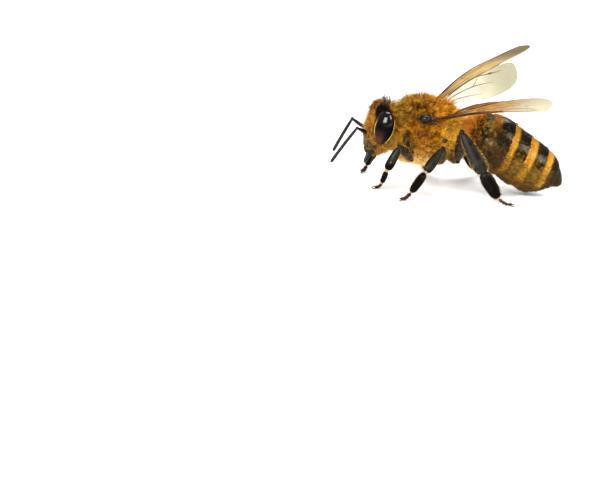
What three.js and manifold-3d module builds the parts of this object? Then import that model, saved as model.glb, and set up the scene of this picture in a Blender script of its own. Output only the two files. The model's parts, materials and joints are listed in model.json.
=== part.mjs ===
// A worker honey bee (Apis mellifera) standing on six feet, at life size.
// Millimetres, +Z up. The bee faces -X and its left side is -Y.
// The solids reach out to the tips of the coat. No leg, wing or feeler is thinner than 0.5 mm.
import * as THREE from "three";
import { mergeVertices } from "three/addons/utils/BufferGeometryUtils.js";
import Module from "manifold-3d";

const wasm = await Module();
wasm.setup();

// ---------------------------------------------------------------- driving dimensions
const PARTING = 0.04;          // thin cut between pieces that touch
const THINNEST = 0.5;          // least thickness of a limb or wing

const THORAX_CENTRE = new THREE.Vector3(-0.5, 0, 3.7);
const THORAX_HALF = new THREE.Vector3(2.02, 2.2, 2.49);
const THORAX_SQUARENESS = 2.45;
const COLLAR_PLANE_X = -1.8;   // prothorax lies ahead of this plane
const WAIST_PLANE_X = 0.85;    // propodeum lies behind this plane, under the scutellum
const SCUTELLUM_FLOOR_Z = 4.75;
const SCUTELLUM_FRONT_X = 0.25;

const ABDOMEN_START = new THREE.Vector3(1.81, 0, 3.67);
const ABDOMEN_DROOP = THREE.MathUtils.degToRad(21.5);
const ABDOMEN_LENGTH = 7.55;
const ABDOMEN_HALF_WIDTH = 2.12;
const ABDOMEN_RISE = 2.14;     // highest point of the back over the abdomen's axis
const ABDOMEN_SAG = 1.6;       // lowest point of the belly under that axis
const ABDOMEN_CUTS = [0, 1.07, 2.93, 4.24, 5.52, 6.65, ABDOMEN_LENGTH];

const TEGULA_CENTRE = new THREE.Vector3(-0.87, 1.93, 4.8);
const TEGULA_HALF = new THREE.Vector3(0.42, 0.3, 0.3);

const EYE_CENTRE = new THREE.Vector3(-3.42, 1.4, 3.86);
const EYE_HALF = new THREE.Vector3(0.62, 0.56, 1.16);
const EYE_LEAN = THREE.MathUtils.degToRad(9);
const EYE_TURN = THREE.MathUtils.degToRad(18);

// Greatest reach of each wing ahead of and behind the line from its root to its tip.
const FOREWING = { length: 9.1, ahead: 0.62, behind: 2.3, widest: 0.7 };
const HINDWING = { length: 5.9, ahead: 0.42, behind: 1.3, widest: 0.6 };
const WING_ROOT_WIDTH = 0.5;
const FOOT_WIDTH = 0.54;
const SOLE_CENTRE_Z = 0.21;    // height of a foot's axis where the sole lies on the floor

// ---------------------------------------------------------------- colours
const COAT_GOLD = 0xb9772b;
const COAT_DARK = 0x6b4420;
const HEAD_COAT = 0x8f5f2c;
const EYE_BLACK = 0x120d0e;
const LEG_BLACK = 0x24211f;
const FOOT_BROWN = 0x4a2419;
const WING_TAN = 0xcdb07a;
const PLATE_BLACK = 0x1d1713;
const BAND_GOLD = 0xb98a3a;

function finish(colour, roughness) {
  return new THREE.MeshStandardMaterial({ color: colour, roughness, metalness: 0 });
}

// ---------------------------------------------------------------- shapes
// A closed body through a row of rings, with a flat cap at each end.
function loft(rings) {
  const sides = rings[0].length;
  const positions = rings.flat().flatMap((point) => [point.x, point.y, point.z]);
  const index = [];
  for (let ring = 0; ring + 1 < rings.length; ring += 1) {
    for (let side = 0; side < sides; side += 1) {
      const a = ring * sides + side;
      const b = ring * sides + ((side + 1) % sides);
      index.push(a, b, b + sides, a, b + sides, a + sides);
    }
  }
  const last = (rings.length - 1) * sides;
  for (let side = 1; side + 1 < sides; side += 1) {
    index.push(0, side + 1, side);
    index.push(last, last + side, last + side + 1);
  }
  const geometry = new THREE.BufferGeometry();
  geometry.setAttribute("position", new THREE.Float32BufferAttribute(positions, 3));
  geometry.setIndex(index);
  return geometry;
}

// One point of a superellipse: exponent 2 is a true ellipse and a larger one is squarer.
function superPoint(angle, exponent) {
  const power = 2 / exponent;
  const cos = Math.cos(angle);
  const sin = Math.sin(angle);
  return [Math.sign(cos) * Math.abs(cos) ** power, Math.sign(sin) * Math.abs(sin) ** power];
}

// Height of an egg-shaped outline at t from 0 to 1: zero at both ends and 1 at the peak.
function egg(t, peak, frontPower, rearPower) {
  const ahead = t < peak;
  const reach = ahead ? (peak - t) / peak : (t - peak) / (1 - peak);
  const power = ahead ? frontPower : rearPower;
  return Math.max(0, 1 - Math.min(reach, 1) ** power) ** (1 / power);
}

// An ellipsoid with squared-off sides, its rings stacked along +Z.
function superEllipsoid(half, exponent, sides, bands) {
  const rings = [];
  for (let band = 1; band < bands; band += 1) {
    const polar = (band / bands - 0.5) * Math.PI;
    const [reach, height] = superPoint(polar, exponent);
    rings.push(Array.from({ length: sides }, (unused, side) => {
      const [x, y] = superPoint(((side + 0.5) / sides) * 2 * Math.PI, 2.15);
      return new THREE.Vector3(half.x * reach * x, half.y * reach * y, half.z * height);
    }));
  }
  return loft(rings);
}

// A limb along +X: `widths` are its breadths along Y at even steps, and its depth along Z is
// `flatness` times those, but not under the least thickness.
function limb(length, widths, flatness, sides = 8) {
  const steps = widths.length - 1;
  const rings = widths.map((width, step) => {
    const depth = Math.max(width * flatness, THINNEST);
    return Array.from({ length: sides }, (unused, side) => {
      const angle = ((side + 0.5) / sides) * 2 * Math.PI;
      const y = (width / 2) * Math.cos(angle);
      return new THREE.Vector3((length * step) / steps, y, (depth / 2) * Math.sin(angle));
    });
  });
  return loft(rings);
}

// ---------------------------------------------------------------- placing and cutting
function part(name, geometry, material) {
  const mesh = new THREE.Mesh(geometry, material);
  mesh.name = name;
  return mesh;
}

// Turns a mesh made along +X so that it runs from one point to another, broad side to `facing`.
function layAlong(mesh, from, to, facing) {
  const along = to.clone().sub(from).normalize();
  const out = facing.clone().addScaledVector(along, -facing.dot(along)).normalize();
  const across = out.clone().cross(along);
  mesh.position.copy(from);
  mesh.quaternion.setFromRotationMatrix(new THREE.Matrix4().makeBasis(along, across, out));
  return mesh;
}

function positionsOnly(geometry) {
  const bare = geometry.clone();
  bare.deleteAttribute("normal");
  bare.deleteAttribute("uv");
  return mergeVertices(bare, 1e-4);
}

function toSolid(geometry) {
  return new wasm.Manifold(new wasm.Mesh({
    numProp: 3,
    vertProperties: new Float32Array(geometry.attributes.position.array),
    triVerts: new Uint32Array(geometry.index.array),
  }));
}

function fromSolid(solid) {
  const largest = solid.decompose().sort((a, b) => b.volume() - a.volume())[0];
  const mesh = largest.getMesh();
  const geometry = new THREE.BufferGeometry();
  geometry.setAttribute("position", new THREE.BufferAttribute(mesh.vertProperties, 3));
  geometry.setIndex(new THREE.BufferAttribute(mesh.triVerts, 1));
  return positionsOnly(geometry);
}

// The solid of a mesh where it stands, its skin moved outward by `growth`.
function standing(mesh, growth = 0) {
  mesh.updateWorldMatrix(true, false);
  const geometry = positionsOnly(mesh.geometry).applyMatrix4(mesh.matrixWorld);
  if (growth > 0) {
    geometry.computeVertexNormals();
    const { position, normal } = geometry.attributes;
    for (let i = 0; i < position.count; i += 1) {
      position.setXYZ(
        i,
        position.getX(i) + growth * normal.getX(i),
        position.getY(i) + growth * normal.getY(i),
        position.getZ(i) + growth * normal.getZ(i),
      );
    }
    geometry.deleteAttribute("normal");
  }
  return toSolid(geometry);
}

// Takes the other pieces, and the thin parting round them, out of a mesh.
function carve(mesh, others) {
  let solid = standing(mesh);
  for (const other of others) {
    solid = solid.subtract(standing(other, PARTING));
  }
  mesh.geometry = fromSolid(solid).applyMatrix4(mesh.matrixWorld.clone().invert());
}

function blockSolid(low, high) {
  const size = high.clone().sub(low);
  const block = new THREE.BoxGeometry(size.x, size.y, size.z);
  block.translate(low.x + size.x / 2, low.y + size.y / 2, low.z + size.z / 2);
  return toSolid(positionsOnly(block));
}

const bee = new THREE.Group();
const SIDES = [["left", -1], ["right", 1]];

// ---------------------------------------------------------------- thorax
// One rounded body, parted into collar, middle, scutellum and propodeum.
function buildThorax() {
  const group = new THREE.Group();
  group.position.copy(THORAX_CENTRE);
  const barrel = superEllipsoid(THORAX_HALF, THORAX_SQUARENESS, 22, 12);
  const whole = toSolid(positionsOnly(barrel));
  const far = 5;
  const gap = PARTING / 2;
  const local = (x, z) => [x - THORAX_CENTRE.x, z - THORAX_CENTRE.z];
  const [collarX] = local(COLLAR_PLANE_X, 0);
  const [waistX, shelfZ] = local(WAIST_PLANE_X, SCUTELLUM_FLOOR_Z);
  const [crestX] = local(SCUTELLUM_FRONT_X, 0);
  const block = (x0, x1, z0, z1) => {
    const low = new THREE.Vector3(x0, -far, z0);
    return blockSolid(low, new THREE.Vector3(x1, far, z1));
  };
  const scutellumBlock = block(crestX + gap, far, shelfZ + gap, far);
  const pieces = {
    prothorax: [whole.intersect(block(-far, collarX - gap, -far, far)), COAT_GOLD],
    scutellum: [whole.intersect(scutellumBlock), COAT_GOLD],
    propodeum: [whole.intersect(block(waistX + gap, far, -far, shelfZ - gap)), COAT_DARK],
    mesothorax: [
      whole.intersect(block(collarX + gap, waistX - gap, -far, far))
        .subtract(block(crestX - gap, far, shelfZ - gap, far)),
      COAT_GOLD,
    ],
  };
  for (const [name, [solid, colour]] of Object.entries(pieces)) {
    group.add(part(name, fromSolid(solid), finish(colour, 0.9)));
  }
  return group;
}

// ---------------------------------------------------------------- abdomen
// Back, belly and sides are egg-shaped outlines; six ring plates are cut from the one body.
function abdomenRing(along, sides) {
  const t = Math.min(Math.max(along / ABDOMEN_LENGTH, 0.012), 0.988);
  const rise = ABDOMEN_RISE * egg(t, 0.27, 2.4, 1.8);
  const sag = ABDOMEN_SAG * egg(t, 0.69, 1.8, 1.5);
  const halfWidth = ABDOMEN_HALF_WIDTH * egg(t, 0.37, 2.5, 1.75);
  return Array.from({ length: sides }, (unused, side) => {
    const angle = (side / sides) * 2 * Math.PI;
    const height = Math.sin(angle) > 0 ? rise : sag;
    return new THREE.Vector3(along, halfWidth * Math.cos(angle), height * Math.sin(angle));
  });
}

function buildAbdomen() {
  const group = new THREE.Group();
  group.position.copy(ABDOMEN_START);
  group.rotation.y = ABDOMEN_DROOP;
  for (let plate = 0; plate + 1 < ABDOMEN_CUTS.length; plate += 1) {
    const from = ABDOMEN_CUTS[plate] + PARTING / 2;
    const to = ABDOMEN_CUTS[plate + 1] - PARTING / 2;
    const steps = Math.max(3, Math.round((to - from) / 0.3));
    const rings = Array.from({ length: steps + 1 }, (unused, step) => {
      const even = step / steps;
      const eased = plate === 0 ? even ** 2 : even;
      return abdomenRing(from + (to - from) * eased, 22);
    });
    const colour = plate % 2 === 0 ? BAND_GOLD : PLATE_BLACK;
    group.add(part(`abdomen_${plate + 1}`, loft(rings), finish(colour, 0.5)));
  }
  return group;
}

// ---------------------------------------------------------------- head
// Level sections from the mouth up to the hair on the crown: height, front, back, half width.
const HEAD_SECTIONS = [
  [1.78, -4.2, -3.5, 0.5],
  [2.15, -4.42, -3.22, 0.92],
  [2.9, -4.52, -2.84, 1.42],
  [3.8, -4.42, -2.6, 1.74],
  [4.6, -4.26, -2.52, 1.66],
  [5.15, -4.04, -2.66, 1.22],
  [5.5, -3.76, -3.02, 0.55],
];

function headRing(t, sides) {
  const heights = HEAD_SECTIONS.map(([z]) => z);
  const reading = (column) => {
    const points = HEAD_SECTIONS.map((section, i) => new THREE.Vector2(heights[i], section[column]));
    return new THREE.SplineCurve(points).getPoint(t);
  };
  const { x: z, y: front } = reading(1);
  const back = reading(2).y;
  const half = reading(3).y;
  return Array.from({ length: sides }, (unused, side) => {
    const [x, y] = superPoint(((side + 0.5) / sides) * 2 * Math.PI, 2.4);
    return new THREE.Vector3((front + back) / 2 + ((back - front) / 2) * x, half * y, z);
  });
}

function buildHead() {
  const group = new THREE.Group();
  const levels = 13;
  const rings = Array.from({ length: levels + 1 }, (unused, level) => headRing(level / levels, 20));
  const head = part("head", loft(rings), finish(HEAD_COAT, 0.9));
  group.add(head);
  for (const [side, sign] of SIDES) {
    const eye = part(`eye_${side}`, superEllipsoid(EYE_HALF, 2.2, 14, 9), finish(EYE_BLACK, 0.15));
    eye.position.set(EYE_CENTRE.x, EYE_CENTRE.y * sign, EYE_CENTRE.z);
    eye.rotation.set(0, EYE_LEAN, EYE_TURN * sign, "ZYX");
    group.add(eye);
    carve(head, [eye]);
  }
  return group;
}

// Jaws close under the face, in front of the folded tongue.
function buildMouth(head) {
  const group = new THREE.Group();
  const proboscis = part("proboscis", limb(0.95, [0.5, 0.55, 0.5], 0.9), finish(FOOT_BROWN, 0.5));
  const tongueRoot = new THREE.Vector3(-3.55, 0, 1.95);
  layAlong(proboscis, tongueRoot, new THREE.Vector3(-3.86, 0, 1.1), new THREE.Vector3(-1, 0, 0));
  carve(proboscis, [head]);
  group.add(proboscis);
  for (const [side, sign] of SIDES) {
    const jaw = part(`mandible_${side}`, limb(1.0, [0.5, 0.6, 0.55, 0.5], 0.9), finish(PLATE_BLACK, 0.3));
    const from = new THREE.Vector3(-3.95, sign * 0.55, 2.1);
    layAlong(jaw, from, new THREE.Vector3(-4.22, sign * 0.3, 1.25), new THREE.Vector3(0, sign, 0));
    group.add(jaw);
    carve(jaw, [head, proboscis]);
  }
  return group;
}

// ---------------------------------------------------------------- antennae
const ANTENNAE = {
  left: [[-4.2, -0.36, 3.2], [-5.16, -1.25, 3.68], [-6.73, -1.97, 1.41]],
  right: [[-4.18, 0.36, 3.32], [-5.18, 1.22, 3.8], [-6.08, 2.1, 1.35]],
};

function buildAntenna(side, head) {
  const group = new THREE.Group();
  const [root, elbow, tip] = ANTENNAE[side].map((point) => new THREE.Vector3(...point));
  const up = new THREE.Vector3(0, 0, 1);
  const stem = [THINNEST, THINNEST, THINNEST, THINNEST];
  const scape = part(`scape_${side}`, limb(root.distanceTo(elbow), stem, 1), finish(LEG_BLACK, 0.4));
  layAlong(scape, root, elbow, up);
  carve(scape, [head]);
  const flagellum = part(`flagellum_${side}`, limb(elbow.distanceTo(tip), stem, 1), finish(LEG_BLACK, 0.5));
  layAlong(flagellum, elbow, tip, up);
  group.add(scape, flagellum);
  carve(flagellum, [scape]);
  return group;
}

// ---------------------------------------------------------------- legs
// Joints of each leg in order: hip, trochanter, knee, ankle, heel, toe.
const LEGS = {
  fore_left: [
    [-1.95, -0.8, 2.9], [-1.4, -1.1, 1.96], [-2.44, -2.4, 2.88],
    [-3.12, -2.55, 1.31], [-3.33, -2.5, 0.42], [-3.93, -2.31, 0],
  ],
  fore_right: [
    [-1.95, 0.8, 2.9], [-1.5, 1.15, 1.98], [-2.75, 2.1, 2.8],
    [-3.4, 2.75, 1.25], [-3.64, 2.97, 0.4], [-4.1, 2.39, 0],
  ],
  mid_left: [
    [0.25, -0.8, 2.3], [0.53, -1.45, 1.98], [0.25, -3.2, 3.2],
    [-0.82, -4.0, 1.7], [-1.76, -4.85, 0.45], [-2.58, -5.69, 0],
  ],
  mid_right: [
    [0.25, 0.8, 2.3], [0.53, 1.45, 1.98], [0.6, 3.1, 3.3],
    [0.6, 4.3, 1.85], [0.6, 5.2, 0.45], [0.65, 6.35, 0],
  ],
  hind_left: [
    [1.1, -0.65, 2.6], [1.61, -1.35, 2.11], [1.4, -2.95, 4.33],
    [2.99, -3.75, 1.94], [4.08, -4.25, 0.43], [5.2, -4.33, 0],
  ],
  hind_right: [
    [1.1, 0.65, 2.6], [1.61, 1.35, 2.11], [1.7, 2.95, 4.0],
    [3.0, 4.0, 1.9], [3.9, 4.75, 0.45], [4.75, 5.1, 0],
  ],
};

// Breadths of each segment from its near end to its far end. The hind shin and heel are broad and flat.
const LEG_WIDTHS = {
  fore: {
    coxa: [0.8, 0.8, 0.6],
    femur: [0.5, 0.66, 0.62, 0.5],
    tibia: [0.5, 0.56, 0.6, 0.5],
    basitarsus: [0.5, 0.52, 0.5],
  },
  mid: {
    coxa: [0.85, 0.85, 0.6],
    femur: [0.5, 0.68, 0.62, 0.5],
    tibia: [0.5, 0.6, 0.66, 0.52],
    basitarsus: [0.5, 0.62, 0.5],
  },
  hind: {
    coxa: [1.0, 0.95, 0.6],
    femur: [0.5, 0.78, 0.74, 0.55],
    tibia: [0.5, 0.74, 0.96, 1.02, 0.7],
    basitarsus: [0.76, 1.08, 1.06, 0.6],
  },
};
const LEG_FLATNESS = { coxa: 1, femur: 0.85, tibia: 0.56, basitarsus: 0.5 };

// A foot slopes down from the heel and then lies flat on its sole.
function footGeometry(length, heelZ) {
  const stations = [[0, heelZ], [0.3, (heelZ + SOLE_CENTRE_Z) / 2], [0.5, SOLE_CENTRE_Z], [1, SOLE_CENTRE_Z]];
  const sides = 8;
  const half = FOOT_WIDTH / 2;
  return loft(stations.map(([t, height]) => Array.from({ length: sides }, (unused, side) => {
    const [y, z] = superPoint(((side + 0.5) / sides) * 2 * Math.PI, 3);
    return new THREE.Vector3(t * length, half * y, Math.max(0, height + half * z));
  })));
}

// The hip is let into the body; the segments after it are cut clear of the body and of each other.
function buildLeg(name, joints, body) {
  const group = new THREE.Group();
  const [pair, side] = name.split("_");
  const points = joints.map((joint) => new THREE.Vector3(...joint));
  const outward = new THREE.Vector3(0, side === "left" ? -1 : 1, 0.25);
  const made = [];
  Object.entries(LEG_WIDTHS[pair]).forEach(([segment, widths], order) => {
    const [from, to] = [points[order], points[order + 1]];
    const geometry = limb(from.distanceTo(to), widths, LEG_FLATNESS[segment]);
    const piece = part(`${segment}_${name}`, geometry, finish(LEG_BLACK, 0.45));
    layAlong(piece, from, to, outward);
    group.add(piece);
    if (segment !== "coxa") {
      carve(piece, [...body, ...made.slice(-2)]);
    }
    made.push(piece);
  });
  body.forEach((bodyPiece) => carve(bodyPiece, [made[0]]));
  const [heel, toe] = points.slice(-2);
  const heading = new THREE.Vector3(toe.x - heel.x, toe.y - heel.y, 0);
  const foot = part(`foot_${name}`, footGeometry(heading.length(), heel.z), finish(FOOT_BROWN, 0.6));
  foot.position.set(heel.x, heel.y, 0);
  foot.rotation.z = Math.atan2(heading.y, heading.x);
  group.add(foot);
  carve(foot, made.slice(-2));
  return group;
}

// ---------------------------------------------------------------- wings
// Reach of a wing's edge at t from 0 at the root to 1 at the tip: a slow swell, then a round end.
function bladeEdge(t, widest, swell) {
  return t < widest ? Math.sin((Math.PI / 2) * (t / widest)) ** swell : egg(t, widest, 2, 2.2);
}

// A sheet along +X with +Y toward its trailing edge, bowed by `arch` along its length.
function wingGeometry({ length, ahead, behind, widest }, arch) {
  const stations = [0, 0.08, 0.18, 0.3, 0.42, 0.54, 0.66, 0.76, 0.85, 0.92, 0.97, 0.995];
  return loft(stations.map((t) => {
    const rootHalf = (WING_ROOT_WIDTH / 2) * (1 - t);
    const front = -rootHalf - ahead * bladeEdge(t, widest, 1);
    const rear = rootHalf + behind * bladeEdge(t, widest, 1.6);
    const middle = arch * Math.sin(Math.PI * t);
    const [low, high] = [middle - THINNEST / 2, middle + THINNEST / 2];
    return [[front, low], [rear, low], [rear, high], [front, high]]
      .map(([y, z]) => new THREE.Vector3(t * length, y, z));
  }));
}

// The two sides differ in their tips, in how far the forewing's trailing edge is raised, in how far
// the hindwing hangs down from it, and in how the wing is bowed.
const WINGS = {
  left: { tip: [6.45, -7.43, 7.67], rise: 12, droop: 14, arch: 0.1 },
  right: { tip: [6.51, 6.96, 8.32], rise: 18, droop: 62, arch: 0.5 },
};
const WING_ROOT = new THREE.Vector3(-0.16, 1.9, 4.76);
const HINDWING_ROOT = new THREE.Vector2(0.5, 0.72);
const HINDWING_ANGLE = THREE.MathUtils.degToRad(23);

// Local Y points backward on both sides, so local Z is down on the right wing and up on the left.
function buildWing(side, sign, body) {
  const { tip, rise, droop, arch } = WINGS[side];
  const root = new THREE.Vector3(WING_ROOT.x, WING_ROOT.y * sign, WING_ROOT.z);
  const along = new THREE.Vector3(...tip).sub(root).normalize();
  const level = new THREE.Vector3(along.y * sign, -along.x * sign, 0).normalize();
  const upper = along.clone().cross(level).multiplyScalar(-sign);
  const risen = THREE.MathUtils.degToRad(rise);
  const back = level.multiplyScalar(Math.cos(risen)).addScaledVector(upper, Math.sin(risen));
  const wingFrame = new THREE.Matrix4().makeBasis(along, back, along.clone().cross(back));
  const group = new THREE.Group();
  group.position.copy(root);
  group.quaternion.setFromRotationMatrix(wingFrame);
  const forewing = part(`forewing_${side}`, wingGeometry(FOREWING, -sign * arch), finish(WING_TAN, 0.3));
  const hindwing = part(`hindwing_${side}`, wingGeometry(HINDWING, -sign * arch), finish(WING_TAN, 0.3));
  const hinge = new THREE.Group();
  hinge.position.set(HINDWING_ROOT.x, HINDWING_ROOT.y, 0);
  hinge.rotation.set(sign * THREE.MathUtils.degToRad(droop), 0, HINDWING_ANGLE, "ZYX");
  hinge.add(hindwing);
  group.add(forewing, hinge);
  carve(forewing, body);
  carve(hindwing, [...body, forewing]);
  return group;
}

// ---------------------------------------------------------------- assembly
const thorax = buildThorax();
const abdomen = buildAbdomen();
const head = buildHead();
bee.add(thorax, abdomen, head);

const headSolid = head.getObjectByName("head");
bee.add(buildMouth(headSolid));

const neck = part("neck", limb(0.7, [1.1, 1.1, 1.1], 1, 12), finish(COAT_DARK, 0.9));
const neckAim = new THREE.Vector3(0, 0, 1);
layAlong(neck, new THREE.Vector3(-2.85, 0, 3.6), new THREE.Vector3(-2.2, 0, 3.65), neckAim);
carve(neck, [headSolid, thorax.getObjectByName("prothorax")]);

const petiole = part("petiole", limb(1.0, [1.0, 0.8, 1.0], 1, 12), finish(COAT_DARK, 0.8));
layAlong(petiole, new THREE.Vector3(1.3, 0, 3.4), new THREE.Vector3(2.3, 0, 3.3), neckAim);
carve(petiole, [thorax.getObjectByName("propodeum"), abdomen.getObjectByName("abdomen_1")]);
bee.add(neck, petiole);

for (const [side, sign] of SIDES) {
  bee.add(buildAntenna(side, headSolid));
  const cap = superEllipsoid(TEGULA_HALF, 2, 10, 6);
  const tegula = part(`tegula_${side}`, cap, finish(PLATE_BLACK, 0.2));
  tegula.position.set(TEGULA_CENTRE.x, TEGULA_CENTRE.y * sign, TEGULA_CENTRE.z);
  bee.add(tegula);
  carve(thorax.getObjectByName("mesothorax"), [tegula]);
  bee.add(buildWing(side, sign, [...thorax.children, tegula]));
}

for (const [name, joints] of Object.entries(LEGS)) {
  bee.add(buildLeg(name, joints, thorax.children));
}

// The origin is at the bottom centre of the whole bee.
const extent = new THREE.Box3().setFromObject(bee, true);
bee.position.set(-(extent.min.x + extent.max.x) / 2, -(extent.min.y + extent.max.y) / 2, -extent.min.z);

const group = new THREE.Group();
group.add(bee);

export default group;
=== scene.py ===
import json
import math

import bpy
import numpy as np
from mathutils import Matrix, Vector
from mathutils.bvhtree import BVHTree

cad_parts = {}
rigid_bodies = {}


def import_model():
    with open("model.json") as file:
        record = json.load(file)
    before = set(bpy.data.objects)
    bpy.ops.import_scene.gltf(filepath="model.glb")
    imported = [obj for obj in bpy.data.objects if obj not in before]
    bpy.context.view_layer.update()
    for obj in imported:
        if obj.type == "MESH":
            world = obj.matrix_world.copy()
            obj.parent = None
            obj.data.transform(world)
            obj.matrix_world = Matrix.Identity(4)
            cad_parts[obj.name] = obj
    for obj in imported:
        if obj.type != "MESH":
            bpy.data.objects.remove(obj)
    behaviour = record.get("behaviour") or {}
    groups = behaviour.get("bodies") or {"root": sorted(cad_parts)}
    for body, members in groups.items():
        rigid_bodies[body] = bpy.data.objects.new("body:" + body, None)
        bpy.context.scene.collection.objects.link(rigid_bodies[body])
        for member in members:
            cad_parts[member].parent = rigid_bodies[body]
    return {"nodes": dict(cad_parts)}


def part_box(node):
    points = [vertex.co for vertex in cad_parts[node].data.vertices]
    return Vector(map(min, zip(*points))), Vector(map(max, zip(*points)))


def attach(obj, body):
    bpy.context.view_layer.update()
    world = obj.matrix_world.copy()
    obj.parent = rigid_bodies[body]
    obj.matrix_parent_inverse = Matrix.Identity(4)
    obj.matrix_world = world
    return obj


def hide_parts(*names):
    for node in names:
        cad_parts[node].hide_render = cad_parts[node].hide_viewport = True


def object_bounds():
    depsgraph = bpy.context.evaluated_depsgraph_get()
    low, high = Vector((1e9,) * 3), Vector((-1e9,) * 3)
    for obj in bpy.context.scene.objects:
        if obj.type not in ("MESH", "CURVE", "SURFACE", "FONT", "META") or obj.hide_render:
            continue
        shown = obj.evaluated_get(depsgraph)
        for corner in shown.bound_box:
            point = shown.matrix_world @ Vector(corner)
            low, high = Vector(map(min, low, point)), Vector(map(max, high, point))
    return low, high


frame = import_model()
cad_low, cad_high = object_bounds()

# ---------------------------------------------------------------- camera
# A long lens stands off the bee's left side and looks a little down on it.
# The bee stands above and to the right of the middle of the view.
MM = 0.001
VIEW_AZIMUTH = math.radians(-8)
VIEW_ELEVATION = math.radians(12)
VIEW_ROLL = math.radians(6.5)
VIEW_DISTANCE = 400 * MM
VIEW_WIDTH = 39.7 * MM
AIM_RIGHT = -9.34 * MM
AIM_UP = -7.86 * MM
SENSOR_WIDTH = 36

level_right = Vector((math.cos(VIEW_AZIMUTH), math.sin(VIEW_AZIMUTH), 0))
view_back = Vector((
    math.sin(VIEW_AZIMUTH) * math.cos(VIEW_ELEVATION),
    -math.cos(VIEW_AZIMUTH) * math.cos(VIEW_ELEVATION),
    math.sin(VIEW_ELEVATION),
))
level_up = view_back.cross(level_right)
view_right = level_right * math.cos(VIEW_ROLL) + level_up * math.sin(VIEW_ROLL)
view_up = level_up * math.cos(VIEW_ROLL) - level_right * math.sin(VIEW_ROLL)
bee_middle = (Vector(cad_low) + Vector(cad_high)) / 2
eye_point = bee_middle + view_right * AIM_RIGHT + view_up * AIM_UP + view_back * VIEW_DISTANCE

lens = bpy.data.cameras.new("camera")
lens.sensor_width = SENSOR_WIDTH
lens.lens = SENSOR_WIDTH * VIEW_DISTANCE / VIEW_WIDTH
lens.clip_start = 10 * MM
lens.clip_end = 10
camera = bpy.data.objects.new("camera", lens)
camera.matrix_world = Matrix.Translation(eye_point) @ Matrix((
    view_right, view_up, view_back)).transposed().to_4x4()
on_show = bpy.context.scene.collection.objects
on_show.link(camera)
bpy.context.scene.camera = camera
bpy.context.scene.view_settings.view_transform = "Standard"


# ---------------------------------------------------------------- floor
# A plain pale studio floor: one sheet of matt white card, far wider than the view, that the bee
# stands on.
FLOOR_HALF = 2.0
FLOOR_WHITE = "#f6f5f2"
CARD_FIBRE = 0.6


def linear(colour):
    """An sRGB hex colour as linear red, green, blue and full alpha."""
    parts = [int(colour[i:i + 2], 16) / 255 for i in (1, 3, 5)]
    return [c / 12.92 if c <= 0.04045 else ((c + 0.055) / 1.055) ** 2.4 for c in parts] + [1.0]


def fill(tree, node, inputs):
    """Fills a node's inputs, by name or, as a list, in order. An input takes a plain value, a hex
    colour, or another node, which stands for its first output in use."""
    in_use = [socket for socket in node.inputs if socket.enabled]
    for key, given in inputs.items() if isinstance(inputs, dict) else enumerate(inputs):
        socket = node.inputs[key] if isinstance(key, str) else in_use[key]
        if isinstance(given, bpy.types.Node):
            given = next(output for output in given.outputs if output.enabled)
        if isinstance(given, bpy.types.NodeSocket):
            tree.links.new(given, socket)
        elif isinstance(given, str) and given.startswith("#"):
            socket.default_value = linear(given)
        else:
            socket.default_value = given


def add(tree, kind, inputs=(), **properties):
    """Adds a node with its properties, and fills its inputs."""
    node = tree.nodes.new(kind)
    for name, value in properties.items():
        setattr(node, name, value)
    fill(tree, node, inputs)
    return node


def new_finish(name, **settings):
    """A material with its shader, and the point being shaded in millimetres."""
    material = bpy.data.materials.new(name)
    material.use_nodes = True
    tree = material.node_tree
    shader = tree.nodes["Principled BSDF"]
    fill(tree, shader, {key.replace("_", " "): value for key, value in settings.items()})
    place = add(tree, "ShaderNodeTexCoord").outputs["Object"]
    return material, tree, shader, add(tree, "ShaderNodeVectorMath", [place, 1 / MM], operation="SCALE")


def fade(tree, *steps):
    """The product of soft steps. A step is a measure with its low and high, and what it gives at
    each if not 0 and 1; or else a share or a number as it stands."""
    product = None
    for step in steps:
        if isinstance(step, tuple):
            step = add(tree, "ShaderNodeMapRange", step, interpolation_type="SMOOTHSTEP")
        product = step if product is None else add(
            tree, "ShaderNodeMath", [product, step], operation="MULTIPLY")
    return product


def laid(tree, under, over, *steps):
    """Colour `over` laid on colour `under` by the product of soft steps."""
    return add(tree, "ShaderNodeMix", [fade(tree, *steps), under, over], data_type="RGBA")


def dress(tree, shader, colour, height=None, depth=0.0, strength=0.6):
    """Gives a finish its colour, and raises it by up to `depth` millimetres where height is 1."""
    fill(tree, shader, {"Base Color": colour})
    if height is not None:
        raised = {"Strength": strength, "Distance": depth * MM, "Height": height}
        fill(tree, shader, {"Normal": add(tree, "ShaderNodeBump", raised)})


# A noise takes the place, the blobs to a millimetre, then their detail and roughness.
def matt_card():
    """Pressed paper card: matt, almost white, with a faint mottle."""
    material, tree, shader, place = new_finish("matt_card", Roughness=0.9)
    mottle = add(tree, "ShaderNodeTexNoise", [place, 1 / CARD_FIBRE])
    dress(tree, shader, laid(tree, FLOOR_WHITE, "#ffffff", mottle))
    return material


floor_mesh = bpy.data.meshes.new("floor")
corners = [(-FLOOR_HALF, -FLOOR_HALF, 0), (FLOOR_HALF, -FLOOR_HALF, 0),
           (FLOOR_HALF, FLOOR_HALF, 0), (-FLOOR_HALF, FLOOR_HALF, 0)]
floor_mesh.from_pydata(corners, [], [(0, 1, 2, 3)])
floor_mesh.materials.append(matt_card())
floor = bpy.data.objects.new("floor", floor_mesh)
on_show.link(floor)


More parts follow.
